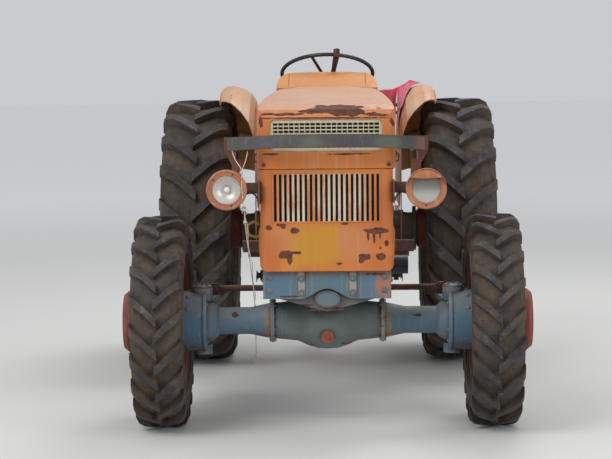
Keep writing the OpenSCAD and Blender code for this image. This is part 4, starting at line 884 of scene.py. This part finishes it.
def make_wheel_fittings():
    for name, s in SIDES:
        nuts = Shape()
        centre = Vector((s * 0.685, FRONT_Y, FRONT_Z))
        nuts.bolts_round(centre + Vector((s * 0.0615, 0, 0)), (s, 0, 0), 0.136, 8, 0.012, 0.012, washer=True)
        for out in spokes((s, 0, 0), 8):
            nuts.lathe([(0.0055, 0), (0.0055, 0.021), (0.0045, 0.022)],
                       centre + Vector((s * 0.0615, 0, 0)) + out * 0.136, (s, 0, 0), 10)
        for x in (0.072, 0.122):
            nuts.ring([(0.125, -0.004), (0.1305, -0.003), (0.1305, 0.003), (0.125, 0.004)],
                      centre + Vector((s * x, 0, 0)), (1, 0, 0), 48)
        nuts.bolts_round(centre + Vector((s * 0.150, 0, 0)), (s, 0, 0), 0.098, 6, 0.007, 0.006, 0.5)
        nuts.made("front_nuts_" + name, "hub_metal", BODY["front_rim_" + name])
        rear = Shape()
        centre = Vector((s * 0.645, REAR_Y, REAR_Z))
        rear.bolts_round(centre + Vector((s * -0.0025, 0, 0)), (s, 0, 0), 0.108, 8, 0.014, 0.014, washer=True)
        rear.ring([(0.050, 0.012), (0.062, 0.014), (0.062, 0.022), (0.050, 0.026)], centre, (s, 0, 0), 40)
        rear.bolts_round(centre + Vector((s * 0.0295, 0, 0)), (s, 0, 0), 0.034, 6, 0.007, 0.006)
        rear.made("rear_nuts_" + name, "hub_metal", BODY["rear_rim_" + name])
        # Moulded ribs and the valve on each tyre's walls
        for end, at, valve_r in (("front", (s * 0.685, FRONT_Y, FRONT_Z), 0.235),
                                 ("rear", (s * 0.645, REAR_Y, REAR_Z), 0.335)):
            at = Vector(at)
            walls = Shape()
            for r, x in TYRE_RIBS[end]:
                for side in (-1, 1):
                    walls.hoop(at + Vector((side * x, 0, 0)), (1, 0, 0), r, 0.0032, 96, 6)
            walls.made("%s_tyre_ribs_%s" % (end, name), end + "_rubber", BODY["%s_tyre_%s" % (end, name)])
            valve = Shape()
            out = Vector((s, 0, 0))
            base = at + Vector((0, valve_r * math.sin(0.8), valve_r * math.cos(0.8)))
            valve.lathe([(0.008, 0), (0.007, 0.012), (0.0045, 0.014), (0.0045, 0.036), (0.0055, 0.037),
                         (0.0055, 0.046), (0.003, 0.048)], base + out * 0.02, out, 14)
            valve.made("%s_valve_%s" % (end, name), "black", BODY["%s_rim_%s" % (end, name)])


# Lamps
def make_lamps():
    for name, s in SIDES:
        at = (s * LAMP_X, LAMP_Y, LAMP_Z)
        bezel = Shape()
        bezel.ring([(0.0812, 0.002), (0.0812, -0.001), (0.0795, -0.004), (0.0765, -0.0052),
                    (0.0735, -0.0050), (0.0700, -0.0022), (0.0640, -0.0012), (0.0590, -0.0026),
                    (0.0570, -0.0020), (0.0560, 0.0020), (0.0560, 0.0090), (0.0760, 0.0090)], at,
                   (0, 1, 0), 56)
        bezel.made("lamp_bezel_" + name, "lamp", angle=30)
        # Screw heads painted dark as the shade of the rim's screw holes.
        screws = Shape()
        for turn in ((142, 68, -73) if s < 0 else (128, 40, -90)):
            a = math.radians(turn)
            place = (at[0] + 0.0665 * math.cos(a), LAMP_Y - 0.001, LAMP_Z + 0.0665 * math.sin(a))
            screws.lathe([(0.0042, -0.001), (0.0042, 0.001), (0.003, 0.0022), (0.0008, 0.0024)], place,
                         (0, -1, 0), 14)
        screws.made("lamp_screws_" + name, "painted_hole_shade")
        dish = Shape()
        dish.ring([(0.0572, 0.0075), (0.0535, 0.014), (0.0470, 0.023), (0.0370, 0.032), (0.0250, 0.039),
                   (0.0125, 0.042), (0.0125, 0.046), (0.0260, 0.043), (0.0385, 0.0355), (0.0490, 0.026),
                   (0.0560, 0.0155), (0.0595, 0.0085)], at, (0, 1, 0), 56)
        dish.made("lamp_reflector_" + name, "reflector")
        bulb = Shape()
        bulb.lathe([(0.0115, 0.0), (0.0115, 0.012), (0.0100, 0.014), (0.0100, 0.018)],
                   (at[0], LAMP_Y + 0.050, LAMP_Z), (0, -1, 0), 24)
        bulb.made("bulb_holder_" + name, "steel")
        bulb = Shape()
        bulb.lathe([(0.0085, 0.0), (0.0095, 0.008), (0.0120, 0.016), (0.0128, 0.022), (0.0115, 0.029),
                    (0.0075, 0.0345), (0.0020, 0.037)], (at[0], LAMP_Y + 0.0555, LAMP_Z), (0, -1, 0), 28)
        bulb.made("bulb_" + name, "bulb")
        # Cable from the lamp to the grille box, along the arm
        lead = Shape()
        lead.tube(smooth_path([(at[0] - s * 0.02, -1.4005, LAMP_Z - 0.02),
                               (at[0] - s * 0.03, -1.396, LAMP_Z - 0.035),
                               (s * 0.34, -1.398, LAMP_Z - 0.030), (s * 0.30, -1.397, LAMP_Z - 0.020),
                               (s * 0.276, -1.392, LAMP_Z - 0.045), (s * 0.272, -1.380, LAMP_Z - 0.065)],
                              0.006), 0.003, 8)
        lead.made("lamp_lead_" + name, "black")
        if s > 0:
            brim = Shape()
            turns = [math.radians(a) for a in range(35, 146, 5)]
            arc = [(0.0776 * math.cos(a), 0.0776 * math.sin(a)) for a in turns]
            sag = [(x, 0.0445 - 0.003 * math.cos(x / 0.0636 * math.pi / 2))
                   for x in (-0.048, -0.032, -0.016, 0, 0.016, 0.032, 0.048)]
            rim = arc + sag
            n = len(rim)
            brim.add([(at[0] + x, y - 0.10 * (z - 0.05), LAMP_Z + z)
                      for y in (LAMP_Y - 0.0195, LAMP_Y - 0.0175) for x, z in rim],
                     [tuple(range(n)), tuple(range(2 * n - 1, n - 1, -1))]
                     + [(k, k + n, (k + 1) % n + n, (k + 1) % n) for k in range(n)])
            brim.made("visor_brim", "lamp", angle=30)
        bracket = Shape()
        for x, z in ((0.352, 1.135), (0.352, 1.190), (0.372, 1.022)):
            bracket.bolt((s * x, -1.3925, z), (0, -1, 0), 0.0085, 0.007)
        for y in (-1.43, -1.36):
            for z in (0.958, 1.022):
                bracket.bolt((s * 0.2735, y if y > -1.40 else -1.398, z), (s, 0, 0), 0.008, 0.007)
        bracket.made("bracket_bolts_" + name, "rusty")
    shiny = Shape()
    shiny.bolt((0.2755, -1.385, 0.923), (1, 0, 0), 0.010, 0.012)
    shiny.bolt((0.3460, -1.3925, 1.163), (0, -1, 0), 0.008, 0.010)
    shiny.made("bright_bolts", "chrome")
    # A dark rubber strip along each front corner of the bonnet's lower edge, standing in for the shade in the
    # gap between the bonnet and the grille box.
    for name, s in SIDES:
        gap_shade_strip = Shape()
        side, front, up, turn_r = s * 0.2675, NOSE_Y + 0.0083, 1.0815, 0.030
        corner = [(side - s * turn_r * (1 - math.sin(a)), front + turn_r * (1 - math.cos(a)), up)
                  for a in (math.radians(15 * k) for k in range(7))]
        gap_shade_strip.tube([(s * 0.231, front, up)] + corner + [(side, NOSE_Y + 0.30, up)], 0.0038, 8)
        gap_shade_strip.made("bonnet_gap_shade_" + name, "hose")
    strap = Shape()
    strap.tube(smooth_path([(-0.274, -1.300, 0.850), (-0.295, -1.300, 0.862), (-0.322, -1.300, 0.845),
                            (-0.318, -1.300, 0.812), (-0.290, -1.300, 0.800), (-0.274, -1.300, 0.806)],
                           0.006), 0.006, 6)
    strap.made("ochre_strap", "ochre")


make_axle_fittings()
make_wheel_fittings()
make_lamps()


# Radiator, hoses, belt and pipes of the engine
def hull_belt(a, ra, b, rb, y, steps=20):
    """Points of a belt round two pulleys, given as (x, z) and a radius."""
    ax, az = a
    bx, bz = b
    d = math.hypot(bx - ax, bz - az)
    base = math.atan2(bz - az, bx - ax)
    spread = math.acos((ra - rb) / d)
    points = []
    for k in range(steps + 1):
        t = base + spread + (2 * math.pi - 2 * spread) * k / steps
        points.append((ax + ra * math.cos(t), y, az + ra * math.sin(t)))
    for k in range(steps + 1):
        t = base - spread + 2 * spread * k / steps
        points.append((bx + rb * math.cos(t), y, bz + rb * math.sin(t)))
    return points


def make_engine_fittings():
    fins = Shape()
    for k in range(56):
        x = -0.195 + 0.390 * k / 55
        fins.block((x - 0.0006, -1.2815, 0.736), (x + 0.0006, -1.2795, 1.196), 0.0002)
    for k in range(30):
        z = 0.745 + 0.445 * k / 29
        fins.block((-0.197, -1.2825, z - 0.0012), (0.197, -1.2805, z + 0.0012), 0.0002)
    fins.made("radiator_fins", "fins", smooth=False)
    hoses = Shape()
    hoses.tube(smooth_path([(-0.08, -1.2085, 1.225), (-0.08, -1.150, 1.228), (-0.075, -1.04, 1.19),
                            (-0.06, -0.93, 1.06), (-0.055, -0.87, 1.03), (-0.055, -0.828, 1.028)], 0.01),
               0.021, 14)
    hoses.tube(smooth_path([(0.15, -1.2085, 0.705), (0.165, -1.13, 0.690), (0.178, -1.00, 0.655),
                            (0.150, -0.925, 0.640), (0.105, -0.888, 0.640)], 0.01), 0.019, 14)
    hoses.tube(smooth_path([(0.205, -0.40, 1.226), (0.205, -0.402, 1.262), (0.180, -0.415, 1.290),
                            (0.140, -0.440, 1.268), (0.118, -0.455, 1.200), (0.112, -0.460, 1.110),
                            (0.105, -0.460, 1.072)], 0.008), 0.022, 14)
    hoses.made("engine_hoses", "hose")
    clamps = Shape()
    for at, along, r in (((-0.08, -1.185, 1.2265), (0, 1, 0), 0.0225),
                         ((-0.055, -0.845, 1.0285), (0, 1, 0), 0.0225),
                         ((0.153, -1.19, 0.702), (0.1, 1, -0.1), 0.0205),
                         ((0.122, -0.905, 0.640), (0.8, -0.6, 0), 0.0205),
                         ((0.205, -0.40, 1.240), (0, 0, 1), 0.0235)):
        clamps.ring([(r - 0.002, -0.005), (r + 0.0008, -0.005), (r + 0.0008, 0.005), (r - 0.002, 0.005)],
                    at, along, 28)
    clamps.made("hose_clamps", "steel")
    belt = Shape()
    belt.tube(hull_belt((0, 0.63), 0.0725, (0, 0.81), 0.0475, -0.907), 0.0055, 6, True)
    belt.made("fan_belt", "black")
    pipes = Shape()
    for i in range(3):
        y0, y1 = -0.61 + 0.05 * i, -0.74 + 0.19 * i
        pipes.tube(smooth_path([(0.20, y0, 0.815), (0.20, y0, 0.86), (0.204, (y0 * 2 + y1) / 3, 0.94),
                                (0.175, (y0 + y1 * 2) / 3, 1.06), (0.125, y1, 1.118), (0.085, y1, 1.124),
                                (0.062, y1, 1.108)], 0.006), 0.0032, 8)
        pipes.bolt((0.20, y0, 0.818), (0, 0, 1), 0.009, 0.012, False)
        pipes.bolt((0.060, y1, 1.102), (0, 0, 1), 0.010, 0.014, False)
    pipes.tube(smooth_path([(0.151, -0.66, 0.90), (0.175, -0.66, 0.905), (0.190, -0.652, 0.87),
                            (0.196, -0.645, 0.79)], 0.006), 0.004, 8)
    pipes.made("fuel_pipes", "steel")
    bits = Shape()
    bits.lathe([(0.034, 0), (0.036, 0.006), (0.036, 0.020), (0.030, 0.026), (0.012, 0.028)],
               (0, -0.71, 1.184), (0, 0, 1), 20)
    for s in (-1, 1):
        for k in range(7):
            bits.bolt((s * 0.100, -0.80 + 0.083 * k, 1.0745), (0, 0, 1), 0.0085, 0.009)
    for k in range(3):
        bits.bolt((0, -0.78 + 0.18 * k, 1.1955), (0, 0, 1), 0.010, 0.012)
    bits.lathe([(0.026, 0), (0.026, 0.010), (0.020, 0.014), (0.020, 0.065), (0.014, 0.070)],
               (0.185, -0.60, 0.965), (0, 0, -1), 24)
    bits.block((0.149, -0.615, 0.950), (0.180, -0.585, 0.972), 0.002)
    bits.made("engine_bits", "grey")
    rust = Shape()
    for y in (-0.20, 0.19):
        rust.ring([(0.040, -0.006), (0.0465, -0.005), (0.0465, 0.005), (0.040, 0.006)],
                  (-0.232, y, 0.540), (0, 1, 0), 40)
    for k in range(3):
        for x in (-0.150, -0.190):
            rust.bolt((x, -0.74 + 0.19 * k, 1.0465), (0, 0, 1), 0.008, 0.008)
    rust.made("exhaust_rings", "rusty")


def make_driver_fittings():
    dials = Shape()
    glasses = Shape()
    needles = Shape()
    for x, r in ((-0.125, 0.046), (0.125, 0.046), (0.0, 0.030)):
        z = 1.335 if x else 1.245
        y = 0.0600 + (1.335 - z) * 0.045 + 0.002
        dials.ring([(r, -0.002), (r + 0.006, 0.0), (r + 0.006, 0.006), (r + 0.002, 0.009), (r - 0.003, 0.007),
                    (r - 0.003, 0.001)], (x, y, z), (0, 1, 0), 44)
        glasses.lathe([(r - 0.003, 0.0), (r - 0.003, 0.002)], (x, y, z), (0, 1, 0), 44)
        for k in range(9):
            a = math.radians(-40 + 260 * k / 8)
            c, q = math.cos(a), math.sin(a)
            needles.tube([(x + c * r * out, y + 0.0025, z + q * r * out) for out in (0.72, 0.86)], 0.0008, 5)
        needles.tube([(x, y + 0.003, z), (x + r * 0.55, y + 0.003, z + r * 0.45)], 0.0010, 6)
    dials.made("gauge_rims", "chrome")
    glasses.made("gauge_faces", "black")
    needles.made("gauge_marks", "cream")
    mats = Shape()
    for s in (-1, 1):
        for k in range(10):
            y = -0.035 + 0.045 * k
            near, far = sorted((s * 0.172, s * 0.392))
            mats.block((near, y, 0.6262), (far, y + 0.012, 0.6295), 0.001)
    mats.made("footplate_ribs", "bracket")
    beads = Shape()
    for s in (-1, 1):
        arc = []
        for k in range(37):
            a = math.radians(113 + 89 * k / 36)
            arc.append((s * 0.5325, REAR_Y + 0.697 * math.sin(a), REAR_Z - 0.697 * math.cos(a)))
        beads.tube(arc, 0.0045, 8)
        for a in (130, 165, 196):
            for r in (0.600, 0.640):
                turn = math.radians(a + 1.2)
                beads.bolt((s * 0.3525, REAR_Y + r * math.sin(turn), REAR_Z - r * math.cos(turn)),
                           (-s, 0, 0), 0.008, 0.006)
    beads.made("fender_edges", "fender")
    lamps = Shape()
    for s in (-1, 1):
        a = math.radians(118)
        out = Vector((0, math.sin(a), -math.cos(a)))
        at = Vector((s * 0.45, REAR_Y, REAR_Z)) + out * 0.727
        lamps.lathe([(0.034, 0), (0.036, 0.004), (0.036, 0.020), (0.030, 0.027), (0.012, 0.031)], at, out, 28)
    lamps.made("tail_lamps", "red_glass")
    wheel = Matrix.Translation((0, 0.18, 1.45)) @ Matrix.Rotation(math.radians(-25), 4, "X")
    strap = Shape()
    ring_r = 0.216
    a = math.radians(-78)
    end = Vector((ring_r * math.cos(a), ring_r * math.sin(a), 0))
    start = Vector((0.020, -0.010, -0.041))
    strap.tube([wheel @ start.lerp(end, 0.12), wheel @ start.lerp(end, 0.5), wheel @ start.lerp(end, 0.90)],
               [0.0125, 0.0115, 0.0150], 10)
    strap.ring([(0.0085, -0.013), (0.0125, -0.013), (0.0125, 0.013), (0.0085, 0.013)], wheel @ end,
               wheel.to_3x3() @ Vector((math.sin(-a), math.cos(a), 0)), 20)
    strap.made("knob_strap", "rusty", BODY["steering_wheel"])
    cap = Shape()
    cap.lathe([(0.022, 0), (0.022, 0.004), (0.014, 0.008), (0.003, 0.009)], wheel @ Vector((0, 0, -0.021)),
              wheel.to_3x3() @ Vector((0, 0, 1)), 28)
    for k in range(44):
        t = 2 * math.pi * k / 44
        at = wheel @ Vector((ring_r * math.cos(t), ring_r * math.sin(t), -0.0075))
        cap.lathe([(0.0035, 0), (0.0035, 0.002), (0.002, 0.003)], at, wheel.to_3x3() @ Vector((0, 0, -1)), 8)
    cap.made("wheel_cap", "black", BODY["steering_wheel"])
    latches = Shape()
    for s in (-1, 1):
        for y in (-1.25, -0.95):
            near, far = sorted((s * 0.278, s * 0.284))
            latches.block((near, y - 0.012, 1.095), (far, y + 0.012, 1.150), 0.001)
            latches.tube(smooth_path([(s * 0.283, y, 1.140), (s * 0.294, y, 1.132), (s * 0.294, y, 1.108),
                                      (s * 0.284, y, 1.102)], 0.004), 0.003, 8)
        latches.bolt((s * 0.252, -1.4205, 1.100), (0, -1, 0), 0.0055, 0.004)
    latches.made("bonnet_latches", "rusty", BODY["bonnet"])
    # Linch pins through the lower links' front pins
    for name, s in SIDES:
        pins = Shape()
        pins.lathe([(0.019, 0), (0.019, 0.003), (0.016, 0.004)], (s * 0.3625, REAR_Y + 0.02, 0.42),
                   (s, 0, 0), 24)
        pins.hoop((s * 0.372, REAR_Y + 0.02, 0.405), (s, 0, 0), 0.018, 0.002, 28, 6)
        pins.tube([(s * 0.370, REAR_Y + 0.02, 0.445), (s * 0.370, REAR_Y + 0.02, 0.398)], 0.003, 8)
        pins.made("link_pin_" + name, "steel", BODY["rear_axle_housing"])


make_engine_fittings()
make_driver_fittings()


# Seat pads: crowned closed forms with sewn channels and piping
def pad_form(shape, width, length, thick, place, channels, crown=0.006, nu=44, nv=32):
    """Adds one pad and gives the points of its edge."""
    index = {}
    points = []
    faces = []
    us = [math.sin(math.pi / 2 * (2 * i / nu - 1)) for i in range(nu + 1)]
    vs = [math.sin(math.pi / 2 * (2 * j / nv - 1)) for j in range(nv + 1)]
    for side in (1, -1):
        for i, u in enumerate(us):
            for j, v in enumerate(vs):
                edge = i in (0, nu) or j in (0, nv)
                if edge and side < 0:
                    index[side, i, j] = index[1, i, j]
                    continue
                h = thick / 2 * max((1 - abs(u) ** 7) * (1 - abs(v) ** 7), 0) ** 0.32
                pinch = 1 - 0.02 * ((1 - u * u) * (abs(v) > 0.98) + (1 - v * v) * (abs(u) > 0.98))
                x, y, z = u * width / 2 * pinch, v * length / 2 * pinch, side * h
                if side > 0:
                    z += crown * (1 - u * u) * (1 - v * v)
                    for c in channels:
                        deep = math.exp(-((u - c) / 0.035) ** 2) * (1 - 0.2 * math.sin(v * 9 + c))
                        z -= 0.0075 * deep * (1 - v ** 8)
                    z += 0.0016 * math.sin(u * 23 + v * 7) * math.sin(v * 17 - u * 5)
                index[side, i, j] = len(points)
                points.append(place @ Vector((x, y, z)))
    for side in (1, -1):
        for i in range(nu):
            for j in range(nv):
                ring = [index[side, i + di, j + dj] for di, dj in ((0, 0), (1, 0), (1, 1), (0, 1))]
                faces.append(tuple(ring if side > 0 else ring[::-1]))
    shape.add(points, faces)
    walk = ([(i, 0) for i in range(nu)] + [(nu, j) for j in range(nv)] + [(i, nv) for i in range(nu, 0, -1)]
            + [(0, j) for j in range(nv, 0, -1)])
    return [points[index[1, i, j]] for i, j in walk]


def make_seat():
    pads = Shape()
    piping = Shape()
    seat = Matrix.Translation((0, 0.692, 1.1012))
    edge = pad_form(pads, 0.404, 0.276, 0.050, seat, (-0.6, -0.2, 0.2, 0.6))
    piping.tube(edge, 0.0035, 6, True)
    back = Matrix.Translation((0, 0.8985, 1.2440)) @ Matrix.Rotation(math.radians(90 - 9.5), 4, "X")
    edge = pad_form(pads, 0.404, 0.226, 0.044, back, (-0.6, -0.2, 0.2, 0.6))
    piping.tube(edge, 0.0035, 6, True)
    cushion = pads.made("seat_pads", "vinyl", BODY["seat_cushion"])
    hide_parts("seat_cushion")
    piping.made("seat_piping", "black", BODY["seat_cushion"])


make_seat()


# Cloth: one sheet over the seat's back and the fender, hanging down between them
CLOTH_TOP = [(0.168, 1.3745), (0.216, 1.3755), (0.234, 1.362), (0.270, 1.359), (0.310, 1.361), (0.345, 1.368),
             (0.372, 1.379), (0.398, 1.396), (0.416, 1.411), (0.430, 1.404), (0.450, 1.401), (0.468, 1.398)]
CLOTH_DROP = [(0.168, 0.010), (0.216, 0.014), (0.232, 0.095), (0.262, 0.225), (0.300, 0.290), (0.345, 0.303),
              (0.385, 0.300), (0.468, 0.300)]


def along_table(table, x):
    for (x0, v0), (x1, v1) in zip(table, table[1:]):
        if x <= x1:
            return v0 + (v1 - v0) * min(max((x - x0) / (x1 - x0), 0), 1)
    return table[-1][1]


def smooth_step(v, low, high):
    t = min(max((v - low) / (high - low), 0), 1)
    return t * t * (3 - 2 * t)


# Over the fender: radius from the crown's and turn of the front edge, each by distance out from the panel
OVER_FENDER = [(-0.009, -0.120), (0.001, -0.070), (0.024, -0.034), (0.063, -0.008), (0.100, 0.008),
               (0.112, 0.008)]
FRONT_EDGE = [(-0.009, 206), (0.010, 203), (0.030, 195), (0.062, 185), (0.112, 178)]
PANEL_X, CROWN_R = 0.357, 0.728
CLOTH_REAR, CLOTH_FOLD = 0.952, 0.852


def make_cloth():
    columns, lying, hanging, over = 110, 12, 56, 26
    places, faces = {}, []

    def corner(x, y, z):
        return places.setdefault((round(x, 5), round(y, 5), round(z, 5)), len(places))

    def skin(rows):
        for above, below in zip(rows, rows[1:]):
            for k in range(len(above) - 1):
                ring = list(dict.fromkeys([above[k], above[k + 1], below[k + 1], below[k]]))
                if len(ring) > 2:
                    faces.append(ring)

    xs = [0.168 + 0.300 * k / columns for k in range(columns + 1)]

    def top(x, row):
        soft = 0.0022 * math.sin(x * 88 + 1.0) + 0.0014 * math.sin(x * 201 + row * 0.21)
        return along_table(CLOTH_TOP, x) + soft * 0.6 - 0.004 * (1 - row / lying) * smooth_step(x, 0.36, 0.42)

    skin([[corner(x, CLOTH_REAR + (CLOTH_FOLD - CLOTH_REAR) * row / lying, top(x, row)) for x in xs]
          for row in range(lying + 1)])

    # Curtain between the seat and the fender
    curtain = []
    for row in range(hanging + 1):
        s = row / hanging
        inside = smooth_step(s, 0.0, 0.22)
        line = []
        for x in (x for x in xs if x < 0.3535):
            aim = min(x, 0.3475 - 0.006 * s) if x > 0.33 else x + 0.012 * s * smooth_step(x, 0.22, 0.30)
            fold = (0.0025 + 0.0095 * s) * smooth_step(x, 0.222, 0.240) * min(s * 12, 1)
            phase = 2 * math.pi * (x - 0.21) / 0.042 + 1.6 * s
            bend = min(s * 9, 1)
            line.append(corner(x + (aim - x) * inside + 0.25 * fold * math.cos(phase),
                               CLOTH_FOLD - 0.006 * bend + fold * math.sin(phase),
                               top(x, lying) - along_table(CLOTH_DROP, x) * s - 0.006 * bend))
        curtain.append(line)
    skin(curtain)

    # Over the fender's shoulder and a little down its inner side
    starts = [(0.0, drop) for drop in (0.075, 0.055, 0.036, 0.018)]
    starts += [(x - PANEL_X, 0) for x in xs if x > 0.3515]
    lap = []
    for row in range(over + 1):
        v = row / over
        near = smooth_step(v, 0.0, 0.34)
        line = []
        for out, drop in starts:
            first_x = PANEL_X + (out if not drop else starts[4][0])
            out = -0.009 if drop else out
            turn = math.radians(174.4 + (along_table(FRONT_EDGE, out) - 174.4 - drop * 70) * v)
            crease = 0.015 * math.exp(-((out - 0.060 + 0.058 * v) / 0.010) ** 2) * (1 - 0.45 * v)
            ripple = 0.0016 * math.sin(out * 150 + v * 7)
            r = CROWN_R + along_table(OVER_FENDER, out) - drop + crease + ripple
            x = PANEL_X + out - 0.25 * crease
            y, z = REAR_Y + r * math.sin(turn), REAR_Z - r * math.cos(turn)
            line.append(corner(first_x + (x - first_x) * near, CLOTH_FOLD + (y - CLOTH_FOLD) * max(near, v),
                               top(first_x, lying) + (z - top(first_x, lying)) * near))
        lap.append(line)
    skin(lap)

    sheet = add_mesh("cloth_sheet", [Vector(p) for p in places], faces, M["cloth"], BODY["cloth"])
    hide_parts("cloth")


make_cloth()


# Stage
def make_stage():
    """A wide floor, paler far off, so that it meets the background without a line."""
    floor = Graph("studio_floor")
    x, y = floor.axis("X"), floor.axis("Y")
    away = floor.math("SQRT", floor.plus(floor.times(x, x), floor.times(y, y)))
    floor.set(Base_Color=floor.mix(floor.step(away, 4, 14), rgb(214, 214, 210), rgb(250, 250, 250)),
              Roughness=0.9)
    half = 60.0
    points = [(-half, -half, 0), (half, -half, 0), (half, half, 0), (-half, half, 0)]
    add_mesh("studio_floor", points, [(0, 1, 2, 3)], floor.material)


def area_light(name, at, target, size, power, colour=(1, 1, 1)):
    data = bpy.data.lights.new(name, "AREA")
    data.shape = "DISK"
    data.size = size
    data.energy = power
    data.color = colour
    light = bpy.data.objects.new(name, data)
    light.location = at
    light.rotation_euler = (Vector(target) - Vector(at)).to_track_quat("-Z", "Y").to_euler()
    bpy.context.collection.objects.link(light)


def make_light():
    area_light("key", (-4.5, -6.5, 6.5), (0, -0.4, 0.8), 5.0, 370)
    area_light("fill", (6.0, -5.0, 3.5), (0, -0.4, 0.8), 5.0, 130)
    area_light("back", (1.5, 2.6, 5.5), (0, 0, 0.9), 3.0, 120)
    world = bpy.data.worlds.new("studio")
    world.use_nodes = True
    background = world.node_tree.nodes["Background"]
    background.inputs["Color"].default_value = (0.94, 0.96, 1.0, 1)
    background.inputs["Strength"].default_value = 0.62
    bpy.context.scene.world = world


make_stage()
make_light()
bpy.context.scene.view_settings.view_transform = "Standard"
